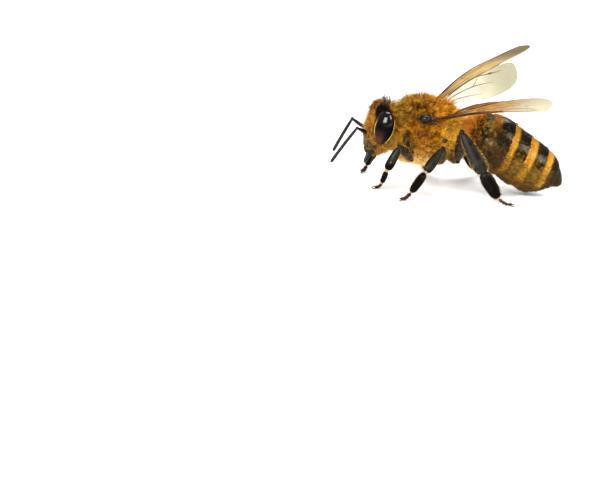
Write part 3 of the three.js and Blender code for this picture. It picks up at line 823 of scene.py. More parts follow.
def eye_rim_skin():
    """Thin skin round the eye: waxy cream in front, brighter and yellower behind."""
    material, tree, shader, place = new_finish("eye_rim_skin", Roughness=0.4)
    parts = add(tree, "ShaderNodeSeparateXYZ", [place]).outputs
    middle = (head_low[0] + head_high[0]) / 2
    top = [head_low[2] + head_size[2] * share for share in (0.62, 0.76)]
    flecks = add(tree, "ShaderNodeTexNoise", [place, 1 / 0.09])
    colour = laid(tree, "#dcc08a", "#dcc65c", (parts["X"], middle + 0.05, middle + 0.3))
    colour = laid(tree, colour, "#1c140c", (parts["Z"], *top))
    dress(tree, shader, laid(tree, colour, "#6a4526", (flecks, 0.50, 0.72)))
    return material


def tube(path, radius, sides=8):
    """A closed round tube along a path; radius is one number or one for each point."""
    path = np.asarray(path, float)
    radius = np.broadcast_to(radius, len(path))
    run = unit(np.gradient(path, axis=0))
    side = np.cross(run[0], [0.31, 0.17, 0.93])
    rings = []
    for point, forward, wide in zip(path, run, radius):
        side = side - forward * (side @ forward)
        side /= np.linalg.norm(side)
        up = np.cross(forward, side)
        angle = np.arange(sides) * 2 * math.pi / sides
        rings.append(point + wide * (np.outer(np.cos(angle), side) + np.outer(np.sin(angle), up)))
    return loft(rings)


cornea = eye_cornea()
rim_skin = eye_rim_skin()
eye_centres = {}
rim_loops = {}
skin_tree = BVHTree.FromPolygons(skin_points.tolist(), [tuple(p.vertices) for p in skin_ground.polygons])
for side, outer in SIDES.items():
    node = f"eye_{side}"
    centre, axes = principal_axes(node_points(node))
    tall = facing(axes[0], (0, 0, 1))
    out = facing(axes[2], (0, outer, 0))
    fore = np.cross(out, tall)
    fore = facing(fore, (-1, 0, 0))
    reachable = (node_points(node) - centre) @ np.stack([fore, out, tall]).T
    half = np.abs(reachable).max(0)
    eye_centres[side] = (centre, fore, out, tall, half)
    points, faces = ball((0, 0, 0), (1, 1, 1), 72, 56, 2.12)
    taper = 1 - EYE_TAPER * np.clip(-points[:, 2], 0, 1) ** 1.5 + 0.02 * points[:, 2]
    points = points * half * np.stack([taper, taper, np.ones_like(taper)], -1)
    standing = centre + points @ np.stack([fore, out, tall])
    build_piece(f"compound_eye_{side}", [outward(standing, faces)], cornea, "eye", node)

    loop, rim_breadth = [], []
    for angle in np.linspace(0, 2 * math.pi, RIM_STOPS, endpoint=False):
        rim_taper = 1 - EYE_TAPER * max(-math.sin(angle), 0) ** 1.5
        behind = ramp(-math.cos(angle), 0.1, 0.7)
        proud = RIM_PROUD + (REAR_RIM_PROUD - RIM_PROUD) * behind
        rim_breadth.append(EYE_RIM_RADIUS + (REAR_RIM_RADIUS - EYE_RIM_RADIUS) * behind)
        for rise in np.linspace(-0.5, 1.1, 65):
            spot_in_eye = np.array([
                half[0] * rim_taper * math.cos(angle) * math.cos(rise), half[1] * math.sin(rise),
                half[2] * math.sin(angle) * math.cos(rise)])
            place = centre + spot_in_eye @ np.stack([fore, out, tall])
            nearest, normal = skin_tree.find_nearest(Vector(place))[:2]
            if (Vector(place) - nearest).dot(normal) > proud:
                break
        loop.append(place)
    loop = np.array(loop)
    for _ in range(6):
        loop = (np.roll(loop, 1, 0) + 2 * loop + np.roll(loop, -1, 0)) / 4
    rim_loops[side] = loop
    ring_angle = np.arange(8) * 2 * math.pi / 8
    run = unit(np.roll(loop, -1, 0) - np.roll(loop, 1, 0))
    flat = np.cross(run, out)
    rings = loop[:, None] + np.array(rim_breadth)[:, None, None] * (
        np.cos(ring_angle)[None, :, None] * flat[:, None]
        + 1.5 * np.sin(ring_angle)[None, :, None] * out[None, None])
    count = len(loop)
    faces = []
    for a in range(count):
        for b in range(8):
            c, d = (a + 1) % count, (b + 1) % 8
            faces.append((a * 8 + b, a * 8 + d, c * 8 + d, c * 8 + b))
    rim = outward(rings.reshape(-1, 3), faces)
    build_piece(f"eye_rim_{side}", [rim], rim_skin, "cuticle")


# ---------------------------------------------------------------- simple eyes, face shield and lip
# Three bead-like simple eyes sit in a triangle on the crown. The face shield and the lip under
# it are bare smooth plates of chitin, sewn to the face by fine grooves.
OCELLUS_RADIUS = 0.12


def olive_chitin():
    """The face shield: smooth dark shell that shows olive-tan through its short down."""
    material, tree, shader, place = new_finish("olive_chitin", Roughness=0.42, Specular_IOR_Level=0.14)
    tone = add(tree, "ShaderNodeTexNoise", [place, 1 / 0.3, 3.0])
    across = add(tree, "ShaderNodeSeparateXYZ", [place]).outputs["X"]
    pits = add(tree, "ShaderNodeTexVoronoi", {"Vector": place, "Scale": 1 / 0.08})
    colour = laid(tree, "#4a3d22", "#8a6b3c", (tone, 0.35, 0.65))
    colour = laid(tree, colour, "#3a3220", (across, head_low[0] + 0.12, head_low[0] + 0.3, 1.0, 0.0))
    dress(tree, shader, colour, fade(tree, (pits, 0.1, 0.35)), 0.006)
    return material


def jet_chitin():
    """Jaws, lip, wing caps and first feeler joints: the blackest shell, polished by use."""
    material, tree, shader, place = new_finish("jet_chitin", Roughness=0.22, Specular_IOR_Level=0.18)
    tone = add(tree, "ShaderNodeTexNoise", [place, 1 / 0.22, 3.0])
    grain = add(tree, "ShaderNodeTexNoise", [place, 1 / 0.04])
    dress(tree, shader, laid(tree, "#070708", "#161412", tone), grain, 0.006)
    return material


olive = olive_chitin()
jet = jet_chitin()
crown = head_low + head_size * np.array([0.42, 0.5, 0.845])
beads = [ball(crown + np.array(offset), (OCELLUS_RADIUS,) * 3, 20, 12)
         for offset in ((-0.16, 0, 0.0), (0.1, -0.2, 0.1), (0.1, 0.2, 0.1))]
build_piece("simple_eyes", beads, cornea, "eye")

shield_place = head_low + head_size * np.array([0.19, 0.5, 0.25])
shield_shape = ball(shield_place, (0.36, 0.62, 0.58), 40, 26, 2.3)
build_piece("face_shield", [shield_shape], olive, "cuticle")
lip_place = head_low + head_size * np.array([0.24, 0.5, 0.06])
build_piece("upper_lip", [ball(lip_place, (0.17, 0.36, 0.2), 32, 20, 2.6)], jet, "cuticle")


# ---------------------------------------------------------------- jaws and tongue
# Spoon-shaped jaws of jet shell fold under the lip, each on a round hinge; behind them the brown
# horny tongue and its two-part sheath hang folded.
RING_WIDTH = 0.05


def edge_ends(node):
    """The two ends of every edge of a CAD node, in millimetres."""
    return node_points(node)[read(frame["nodes"][node].data.edges, "vertices", 2, int).T]


def crossings(first, second, a, b):
    """Where edges cross a plane; a and b are the heights of their two ends over it."""
    cut = a * b < 0
    share = (a[cut] / (a[cut] - b[cut]))[:, None]
    return first[cut] + (second[cut] - first[cut]) * share


def slice_centre(node, point, direction):
    """Middle of the outline in which a plane cuts a CAD node."""
    first, second = edge_ends(node)
    crossing = crossings(first, second, (first - point) @ direction, (second - point) @ direction)
    across = unit(np.cross(direction, [0.3, 0.9, 0.2]))
    middle = point.copy()
    for way in (across, np.cross(direction, across)):
        reach_along = (crossing - point) @ way
        middle = middle + way * (reach_along.min() + reach_along.max()) / 2
    return middle


def limb_line(node, start_near):
    """Axis of a limb's CAD node, from its end nearest a point to its far end."""
    points = node_points(node)
    middle, axes = principal_axes(points)
    direction = axes[0]
    for _ in range(3):
        along = (points - middle) @ direction
        low, high = along.min(), along.max()
        first = slice_centre(node, middle + direction * (low + 0.35 * (high - low)), direction)
        second = slice_centre(node, middle + direction * (low + 0.65 * (high - low)), direction)
        direction = unit(second - first)
        middle = (first + second) / 2
    along = (points - middle) @ direction
    ends = [middle + direction * along.min(), middle + direction * along.max()]
    away = [np.linalg.norm(end - start_near) for end in ends]
    return ends if away[0] < away[1] else ends[::-1]


def meeting(first, second):
    """The joint of two limbs: the point nearest to both of their axes."""
    (a, b), (c, d) = first, second
    u, v, w = unit(b - a), unit(d - c), a - c
    dot = u @ v
    share = 1 - dot * dot
    on_first = a + u * ((dot * (v @ w) - u @ w) / share)
    on_second = c + v * (((v @ w) - dot * (u @ w)) / share)
    return (on_first + on_second) / 2


def limb(start, end, broad, deep, side_hint, rings=22, sides=16, bow=0.0, square=7.0):
    """A closed rounded limb segment. `broad` are breadths across side_hint, `deep` the depths."""
    start, end = np.asarray(start, float), np.asarray(end, float)
    run = unit(end - start)
    out = unit(side_hint - run * (side_hint @ run))
    across = np.cross(run, out)
    share = 0.5 - 0.5 * np.cos(np.linspace(0.04, 0.96, rings) * math.pi)
    share = (share - share[0]) / (share[-1] - share[0])
    closing = np.maximum(1 - np.abs(2 * share - 1) ** square, 0.02) ** 0.5
    wide = flow(broad, share) / 2 * closing
    thick = flow(deep, share) / 2 * closing
    angle = np.arange(sides) * 2 * math.pi / sides
    middles = start + np.outer(share, end - start) + np.outer(np.sin(share * math.pi) * bow, across)
    return loft(middles[:, None] + wide[:, None, None] * np.cos(angle)[None, :, None] * across
                + thick[:, None, None] * np.sin(angle)[None, :, None] * out)


def tongue_horn():
    """Tongue and sheath: flexible brown horn, faintly ringed, half glossy."""
    material, tree, shader, place = new_finish("tongue_horn", Roughness=0.38, Specular_IOR_Level=0.15)
    height = add(tree, "ShaderNodeSeparateXYZ", [place]).outputs["Z"]
    rings = add(tree, "ShaderNodeMath", [height, RING_WIDTH], operation="PINGPONG")
    tone = add(tree, "ShaderNodeTexNoise", [place, 1 / 0.2])
    ridges = fade(tree, (rings, 0.0, RING_WIDTH))
    dress(tree, shader, laid(tree, "#2c150a", "#5a3016", tone), ridges, 0.012)
    return material


horn = tongue_horn()
face_middle = np.array([head_low[0] + 0.5, middle_y, head_low[2] + 0.8])
jaw_foot = {}
for side, outer in SIDES.items():
    node = f"mandible_{side}"
    upper, lower = limb_line(node, face_middle)
    inner = (middle_y - lower[1]) * 0.35
    lower = lower + np.array([-0.02, inner, 0.02])
    upper = upper + np.array([0.05, 0.0, 0.02])
    jaw_foot[side] = upper
    blade = limb(upper, lower, [0.34, 0.29, 0.24, 0.20, 0.11], [0.32, 0.26, 0.22, 0.2, 0.12],
                 np.array([0.0, outer, 0.0]), bow=0.03, square=5)
    knob = ball(upper, (0.13, 0.12, 0.13), 20, 14)
    build_piece(f"jaw_{side}", [blade, knob], jet, "cuticle", node)

tongue_top, tongue_tip = limb_line("proboscis", face_middle)
ahead = np.array([-1.0, 0.0, 0.0])
tongue_parts = [limb(tongue_top, tongue_tip, [0.2, 0.17, 0.12, 0.07], [0.18, 0.14, 0.1, 0.07], ahead)]
for outer in SIDES.values():
    aside = np.array([0.04, outer * 0.12, 0.0])
    tongue_parts.append(limb(tongue_top + aside * 1.2, tongue_tip + aside * 0.5 + [0, 0, 0.12],
                             [0.22, 0.2, 0.14, 0.06], [0.08, 0.08, 0.06, 0.04], ahead + aside * 4))
build_piece("tongue", tongue_parts, horn, "foot", "proboscis")


# ---------------------------------------------------------------- feelers
# Elbowed antennae: a long first joint set in a socket, a small ball joint, and ten short drums
# of dull black shell under a grey bloom of tiny sense hairs.
DRUM_BREADTH = 0.225
DRUMS = 10
# Breadth of the whip at shares of its length.
WHIP_TAPER = [(0, 0.72), (0.06, 0.85), (0.2, 1), (0.9, 1.04), (0.975, 0.85), (1.0, 0.25)]


def bloomed_chitin():
    """Feelers: black shell, satin from a bloom of hairs too small to see singly."""
    material, tree, shader, place = new_finish("bloomed_chitin", Roughness=0.46, Specular_IOR_Level=0.12)
    bloom = add(tree, "ShaderNodeTexNoise", [place, 1 / 0.05, 4.0])
    tone = add(tree, "ShaderNodeTexNoise", [place, 1 / 0.6])
    colour = laid(tree, "#10100d", "#22221c", tone)
    dress(tree, shader, laid(tree, colour, "#4c4c40", (bloom, 0.55, 0.8)), bloom, 0.008)
    return material


bloomed = bloomed_chitin()
upward = np.array([0.0, 0.0, 1.0])
sockets = []
for side in SIDES:
    scape_line = limb_line(f"scape_{side}", face_middle)
    drum_line = limb_line(f"flagellum_{side}", face_middle + [0, 0, 1.0])
    elbow = meeting(scape_line, drum_line)
    inward = unit(scape_line[0] - elbow)
    foot = scape_line[0] + inward * 0.16
    scape = limb(foot, elbow, [0.16, 0.25, 0.27, 0.24, 0.2], [0.16, 0.24, 0.26, 0.23, 0.19],
                 upward, bow=-0.03)
    bead = ball(foot, (0.11, 0.11, 0.11), 16, 12)
    build_piece(f"scape_shaft_{side}", [scape, bead], jet, "cuticle", f"scape_{side}")
    tip = drum_line[1] + unit(drum_line[0] - drum_line[1]) * 0.02
    run = tip - elbow
    share = np.linspace(0.0, 1.0, DRUMS * 9 + 1)
    from_gap = np.abs((share * DRUMS + 0.5) % 1.0 - 0.5)
    breadth = DRUM_BREADTH * (1 - 0.16 * np.exp(-(from_gap / 0.07) ** 2))
    breadth = breadth * np.interp(share, *np.transpose(WHIP_TAPER))
    path = elbow + np.outer(share, run) + np.outer(np.sin(share * math.pi) * 0.05, upward)
    joint = ball(elbow, (0.115, 0.115, 0.115), 18, 12)
    build_piece(f"drums_{side}", [tube(path, breadth / 2, 14), joint], bloomed,
                "cuticle", f"flagellum_{side}")
    sockets.append(ball(foot - inward * 0.02, (0.14, 0.15, 0.15), 24, 12))
build_piece("feeler_sockets", sockets, horn, "cuticle")


# ---------------------------------------------------------------- wing caps and hinges
# A polished blue-black cap of hard shell covers each forewing's hinge; behind it lie the small
# dark plates that the wing turns on.
def wing_point(side, behind=0.0, up=0.0, out=0.0):
    """A point near a wing's hinge, on the side -1 for left or 1 for right."""
    return np.array([cap_x + behind, middle_y + side * (cap_out + out), cap_z + up])


def hinge_horn():
    """Hinge plates: small hard levers of very dark red-purple shell."""
    material, tree, shader, place = new_finish("hinge_horn", Roughness=0.34, Specular_IOR_Level=0.2)
    tone = add(tree, "ShaderNodeTexNoise", [place, 1 / 0.2])
    dress(tree, shader, laid(tree, "#180a10", "#4a1a10", tone))
    return material


purple_horn = hinge_horn()
HINGE_PLATES = [((0.50, 0.02, -0.10), (0.20, 0.14, 0.13)), ((0.72, -0.06, -0.16), (0.17, 0.12, 0.11)),
                ((0.62, 0.10, -0.22), (0.13, 0.12, 0.12)), ((0.92, 0.03, -0.22), (0.15, 0.10, 0.09))]
for name, side in SIDES.items():
    dome = ball(wing_point(side, out=-0.05), cap_half * np.array([0.92, 0.95, 0.9]), 40, 26, 2.2)
    edge = ball(wing_point(side, up=-0.03, out=-0.09), cap_half * np.array([1.0, 0.8, 0.96]), 40, 20, 2.2)
    build_piece(f"wing_cap_{name}", [dome, edge], jet, "cuticle", f"tegula_{name}")
    plates = [ball(wing_point(side, *place), half, 24, 16) for place, half in HINGE_PLATES]
    build_piece(f"hinge_plates_{name}", plates, purple_horn, "cuticle")


# ---------------------------------------------------------------- abdomen
# Six overlapping back plates and six belly plates, each a thin curved shell whose front edge
# slides under the plate ahead. Its rear rim stands a little proud.
ABDOMEN_NODES = [f"abdomen_{n}" for n in range(1, 7)]
PLATE_THICKNESS = 0.05
PLATE_TUCK = 0.38
PLATE_OVERLAP = 0.10
FRONT_INSET = 0.155
REAR_INSET = 0.035
BELLY_SUNK = 0.06
BELLY_LAP = math.radians(14)
LOWEST_BACK_ANGLE = math.radians(-36)
FRONT_DOME = 0.36
REAR_DOME = 0.10
# Outline to the rear: station, and height of the back and the belly over the axis, or half width.
TOP_LINE = [
    (0.5, 1.74), (1.0, 2.05), (1.47, 2.26), (2.0, 2.36), (2.5, 2.34), (3.0, 2.26), (3.6, 2.14),
    (4.2, 2.03), (4.6, 1.95), (5.3, 1.83), (5.9, 1.68),
    (6.3, 1.50), (6.6, 1.30), (6.9, 1.02), (7.1, 0.80), (7.3, 0.52), (7.5, 0.18)]
BELLY_LINE = [
    (1.6, -1.05), (3.0, -1.50), (4.1, -1.63), (5.1, -1.67), (5.6, -1.60), (6.0, -1.42), (6.2, -1.27),
    (6.4, -1.04), (6.6, -0.80), (7.05, -0.50), (7.5, -0.24)]
HALF_WIDTH = [
    (1.6, 2.0), (3.0, 2.11), (4.5, 1.93), (5.5, 1.64), (6.0, 1.42), (6.6, 1.10), (7.0, 0.80),
    (7.3, 0.50), (7.5, 0.22)]


def even_out(line, times):
    """Smooths a line or a run of points, whose ends stay where they are."""
    for _ in range(times):
        line[1:-1] = (line[:-2] + 2 * line[1:-1] + line[2:]) / 4


def flat_direction(node):
    """Direction of a solid's largest flat side."""
    mesh = frame["nodes"][node].data
    area = {}
    for polygon in mesh.polygons:
        key = tuple(np.round(np.abs(polygon.normal), 2))
        area[key] = area.get(key, 0) + polygon.area
    widest = max(area, key=area.get)
    sides = [np.array(p.normal) * (1 if p.normal.x > 0 else -1) for p in mesh.polygons
             if tuple(np.round(np.abs(p.normal), 2)) == widest]
    return unit(np.mean(sides, axis=0))


rearward = flat_direction("abdomen_4")
rearward = unit(np.array([rearward[0], 0.0, rearward[2]]))
dorsal = np.array([-rearward[2], 0.0, rearward[0]])
sideways = np.array([0.0, 1.0, 0.0])
plate_ends = [(node_points(n) @ rearward).min() for n in ABDOMEN_NODES]
plate_ends.append((node_points("abdomen_6") @ rearward).max())
abdomen_start = plate_ends[0]
cuts = np.array(plate_ends) - abdomen_start
abdomen_length = cuts[-1]
rings = np.concatenate([node_points(n) for n in ABDOMEN_NODES])
ring_station = np.round((rings @ rearward - abdomen_start) / 0.03).astype(int)
profile = []
for number in np.unique(ring_station):
    ring = rings[ring_station == number]
    if len(ring) > 40:
        widest = ring[np.argmax(ring[:, 1])]
        profile.append(((ring @ rearward).mean() - abdomen_start, (ring @ dorsal).max(),
                        (ring @ dorsal).min(), widest[1] - middle_y, widest @ dorsal))
profile = np.array(profile)
axis_height = np.median(profile[:, 4])
evenly = np.linspace(0, abdomen_length, 121)
smooth_profile = [evenly]
for column in (1, 2, 3):
    line = np.interp(evenly, profile[:, 0], profile[:, column])
    even_out(line, 6)
    smooth_profile.append(line)
profile = np.stack(smooth_profile, -1)
for column, line in ((1, TOP_LINE), (2, BELLY_LINE), (3, HALF_WIDTH)):
    stations, values = np.transpose(line)
    drawn = np.interp(evenly, stations, values) + (0.0 if column == 3 else axis_height)
    blend_in = ramp(evenly, 0.3, 1.0) if column == 1 else ramp(evenly, 1.6, 3.0)
    mixed = profile[:, column] + (drawn - profile[:, column]) * blend_in
    even_out(mixed, 5)
    profile[:, column] = mixed


def abdomen_point(station, angle, inset):
    """A point on the abdomen: distance from its front, angle up from its left side, and depth
    under the outline."""
    rise = np.interp(station, profile[:, 0], profile[:, 1]) - axis_height
    sag = axis_height - np.interp(station, profile[:, 0], profile[:, 2])
    half = np.interp(station, profile[:, 0], profile[:, 3])
    closing = np.clip((FRONT_DOME - station) / FRONT_DOME, 0, 1)
    closing = np.maximum(closing, np.clip((station - abdomen_length + REAR_DOME) / REAR_DOME, 0, 1))
    roundness = np.sqrt(1 - 0.999 * closing ** 2)
    rise, sag, half = (np.maximum(v - inset, 0.03) * roundness for v in (rise, sag, half))
    height = np.where(np.sin(angle) > 0, rise, sag) * np.sin(angle)
    place = (station + abdomen_start)[..., None] * rearward
    place = place + (axis_height + height)[..., None] * dorsal
    return place + (middle_y - half * np.cos(angle))[..., None] * sideways


def grid_faces(rows, columns):
    """The four corners of every cell of a grid of points."""
    corners = [r * columns + c for r in range(rows - 1) for c in range(columns - 1)]
    return [(a, a + 1, a + columns + 1, a + columns) for a in corners]


def shell(outer, inner):
    """A closed thin shell between two grids of points."""
    rows, columns = outer.shape[:2]
    count = rows * columns
    faces = []
    for a, b, c, d in grid_faces(rows, columns):
        faces += [(a, b, c, d), (a + count, d + count, c + count, b + count)]
    border = [(0, c) for c in range(columns - 1)] + [(r, columns - 1) for r in range(rows - 1)]
    border += [(rows - 1, c) for c in range(columns - 1, 0, -1)] + [(r, 0) for r in range(rows - 1, 0, -1)]
    loop = [r * columns + c for r, c in border]
    for a, b in zip(loop, loop[1:] + loop[:1]):
        faces.append((a, a + count, b + count, b))
    return outward(np.concatenate([outer.reshape(-1, 3), inner.reshape(-1, 3)]), faces)


def plate_inset(first, last, station):
    """How deep a plate lies under the outline: deep in front, and proud at its rear rim."""
    reach = (station - first) / (last - first)
    inset = FRONT_INSET + (REAR_INSET - FRONT_INSET) * ramp(reach, 0.05, 0.95)
    return inset - 0.018 * np.exp(-((reach - 0.985) / 0.03) ** 2)


def plate_shell(first, last, low_angle, high_angle, sunk=0.0, rows=30, columns=76):
    """One plate of the abdomen between two stations and two angles."""
    share = np.linspace(0, 1, rows)
    station = np.clip(first + (last - first) * share, 0.0, abdomen_length)
    angle = np.linspace(low_angle, high_angle, columns)
    inset = plate_inset(first, last, station) + sunk
    s, a = np.meshgrid(station, angle, indexing="ij")
    i = np.repeat(inset[:, None], columns, 1)
    edge = np.minimum(np.arange(columns), np.arange(columns)[::-1]) / 5
    i = i + 0.03 * (1 - np.clip(edge, 0, 1))[None, :]
    return shell(abdomen_point(s, a, i), abdomen_point(s, a, i + PLATE_THICKNESS))


def along_abdomen(tree, place):
    """Distance from the abdomen's front and height over its axis, in millimetres."""
    measures = []
    for way, start in ((rearward, abdomen_start), (dorsal, axis_height)):
        distance = add(tree, "ShaderNodeVectorMath", [place, tuple(way)], operation="DOT_PRODUCT")
        measures.append(add(tree, "ShaderNodeMath", [distance, start], operation="SUBTRACT"))
    return measures


# Colours of the back from front to rear: station in millimetres and colour.
BACK_BANDS = [
    (0.0, "#b3661a"), (0.28, "#8f4e16"), (0.42, "#14100b"), (0.90, "#14100b"), (1.26, "#1c160c"),
    (1.40, "#7c4c14"), (1.75, "#6b4212"), (2.0, "#120e0a"), (2.90, "#080604"),
    (2.95, "#a87016"), (3.25, "#bc8626"), (3.42, "#100c07"), (4.20, "#080604"),
    (4.25, "#ac741a"), (4.72, "#c08a2a"), (4.90, "#100c07"), (5.66, "#080604"),
    (5.71, "#b0781a"), (6.08, "#c48e2c"), (6.22, "#120e07"), (6.70, "#0c0906"), (7.55, "#2e200b"),
]


def band_colour(tree, place):
    """The abdomen's bands, shared by its plates and its hair. Their edges waver a little."""
    station, height = along_abdomen(tree, place)
    waver = add(tree, "ShaderNodeTexNoise", [place, 1 / 0.13, 4.0, 0.7])
    shift = fade(tree, (waver, 0.25, 0.75, -0.10, 0.10))
    wavered = add(tree, "ShaderNodeMath", [station, shift], operation="ADD")
    share = add(tree, "ShaderNodeMath", [wavered, float(abdomen_length)], operation="DIVIDE")
    bands = add(tree, "ShaderNodeValToRGB", [share])
    stops = bands.color_ramp.elements
    for number, (at, colour) in enumerate(BACK_BANDS):
        stop = stops[number] if number < 2 else stops.new(1.0)
        stop.position = at / BACK_BANDS[-1][0]
        stop.color = linear(colour)
    return bands, station, height


def banded_chitin():
    """Back plates: smooth waxed shell, jet black with amber bands where the pigment is thin.
    Fine cross grooves and pits break its gloss."""
    material, tree, shader, place = new_finish(
        "banded_chitin", Specular_IOR_Level=0.18, Specular_Tint=linear("#ecd49c"))
    colour, station, height = band_colour(tree, place)
    speck, patch, mottle, glint, polish, pits, fine = (
        add(tree, "ShaderNodeTexNoise", [place, 1 / size, detail, roughness])
        for size, detail, roughness in (
            (0.08, 4.0, 0.5), (0.45, 3.0, 0.5), (0.26, 4.0, 0.5), (0.2, 4.0, 0.5),
            (0.5, 2.0, 0.5), (0.34, 1.0, 0.5), (0.15, 5.0, 0.65)))
    colour = laid(tree, colour, "#2a1a0a", (speck, 0.52, 0.70, 0.0, 0.7))
    colour = laid(tree, colour, "#17110a", (height, 1.75, 1.35), (station, 2.4, 2.0), 0.85)
    # Painted sheen: olive patches on the front plates.
    colour = laid(tree, colour, "#74602a", (station, 2.7, 1.7), (patch, 0.50, 0.66), 0.75)
    # Painted highlight: an olive-gold spot on each side of the front plate, broken up by noise.
    for turn_up in (math.radians(48), math.pi - math.radians(48)):
        centre = abdomen_point(np.array([1.06]), np.array([turn_up]), np.array([0.1]))[0]
        colour = laid(tree, colour, "#85702e", spot(tree, place, centre, (0.28, 0.62, 0.52), 0.9),
                      (glint, 0.40, 0.62, 0.0, 0.9))
    front_low = laid(tree, "#1b130b", "#442e15", (fine, 0.34, 0.70))
    rear_low = laid(tree, "#382a0d", "#74541c", (fine, 0.32, 0.68))
    lower = laid(tree, front_low, rear_low, (station, 2.6, 3.4))
    lower = laid(tree, lower, "#2a1e0a", (station, 6.0, 6.6))
    shift = fade(tree, (mottle, 0.3, 0.7, -0.35, 0.35))
    ragged = add(tree, "ShaderNodeMath", [height, shift], operation="ADD")
    colour = laid(tree, colour, lower, (ragged, 0.95, 0.1, 0.0, 0.88))
    across = add(tree, "ShaderNodeMapping", {
        "Vector": place, "Rotation": (0, math.asin(-rearward[2]), 0), "Scale": (1.0, 0.22, 0.22)})
    grooves = add(tree, "ShaderNodeTexNoise", [across, 1 / 0.03, 3.0])
    dents = add(tree, "ShaderNodeMath", [pits, 5.0, grooves], operation="MULTIPLY_ADD")
    dress(tree, shader, colour, dents, 0.010, 0.8)
    gloss = fade(tree, (station, 0.9, 2.6, 0.22, 1.0), (height, 0.0, 1.0, 0.2, 1.0),
                 (station, 7.0, 6.2, 0.35, 1.0), (height, 1.9, 1.3, 0.45, 1.0), 0.26)
    fill(tree, shader, {"Roughness": fade(tree, (polish, 0.3, 0.7, 0.08, 0.18)),
                        "Specular IOR Level": gloss})
    return material


def belly_chitin():
    """Belly plates: thinner shell, translucent tan to orange-brown, darker toward the rear."""
    material, tree, shader, place = new_finish("belly_chitin", Roughness=0.6, Specular_IOR_Level=0.05)
    station, height = along_abdomen(tree, place)
    patch = add(tree, "ShaderNodeTexNoise", [place, 1 / 0.5, 3.0])
    speck = add(tree, "ShaderNodeTexNoise", [place, 1 / 0.12, 4.0])
    colour = laid(tree, "#4e3210", "#6e4519", (patch, 0.38, 0.62))
    colour = laid(tree, colour, "#261e0c", (station, 4.0, 6.2))
    colour = laid(tree, colour, "#4b3018", (speck, 0.5, 0.75, 0.0, 0.7))
    dress(tree, shader, colour, add(tree, "ShaderNodeTexNoise", [place, 1 / 0.05]), 0.008)
    return material


banded = banded_chitin()
belly = belly_chitin()
high_angle = math.pi - LOWEST_BACK_ANGLE
plate_spans = []
for number, node in enumerate(ABDOMEN_NODES, 1):
    first = max(cuts[number - 1] - PLATE_TUCK, 0.0)
    last = cuts[number] + (PLATE_OVERLAP if number < len(ABDOMEN_NODES) else 0.0)
    plate_spans.append((first, last))
    back_plate = plate_shell(first, last, LOWEST_BACK_ANGLE, high_angle)
    build_piece(f"back_plate_{number}", [back_plate], banded, "plate", node)
    belly_shell = plate_shell(
        first, last, high_angle - BELLY_LAP, 2 * math.pi + LOWEST_BACK_ANGLE + BELLY_LAP,
        sunk=BELLY_SUNK, columns=60)
    build_piece(f"belly_plate_{number}", [belly_shell], belly, "plate")


# ---------------------------------------------------------------- wings
# Two pairs of clear stiff membranes, a fiftieth of a millimetre thick, tinted like amber where
# light passes them at a slant, on a frame of hollow brown veins.
MEMBRANE = 0.022
ROUND_FROM = 0.72
TIP_FORWARD = 0.5
TIP_STRAIGHT = 0.65
BLADE_STOPS = 161
EDGE_EVENED = 40


def blade_lines(node, hinge):
    """Front and rear edge of a wing's CAD node from its hinge to its tip, and its upper side."""
    points = node_points(node)
    tip = points[np.argmax(np.linalg.norm(points - hinge, axis=1))]
    length = np.linalg.norm(tip - hinge)
    along = (tip - hinge) / length
    normal = principal_axes(points)[1][2]
    normal = unit(normal - along * (normal @ along))
    normal = facing(normal, (0, 0, 1))
    back = np.cross(normal, along)
    back = facing(back, (1, 0, 0))
    first, second = edge_ends(node)
    front, rear, shares = [], [], []
    start = ((points - hinge) @ along).min() / length
    for share in np.linspace(max(start, 0.0) + 0.10, 0.992, 30):
        level = share * length
        crossing = crossings(
            first, second, (first - hinge) @ along - level, (second - hinge) @ along - level)
        chord, level = crossing @ back, crossing @ normal
        upper = level > np.polyval(np.polyfit(chord, level, 1), chord)
        halves = [(crossing[s], chord[s]) for s in (upper, ~upper)]
        front.append(np.mean([points_there[np.argmin(c)] for points_there, c in halves], axis=0))
        rear.append(np.mean([points_there[np.argmax(c)] for points_there, c in halves], axis=0))
        shares.append(share)
    front, rear = np.array(front), np.array(rear)
    even_out(front, 4)
    even_out(rear, 4)
    return np.array(shares), front, rear, normal, back


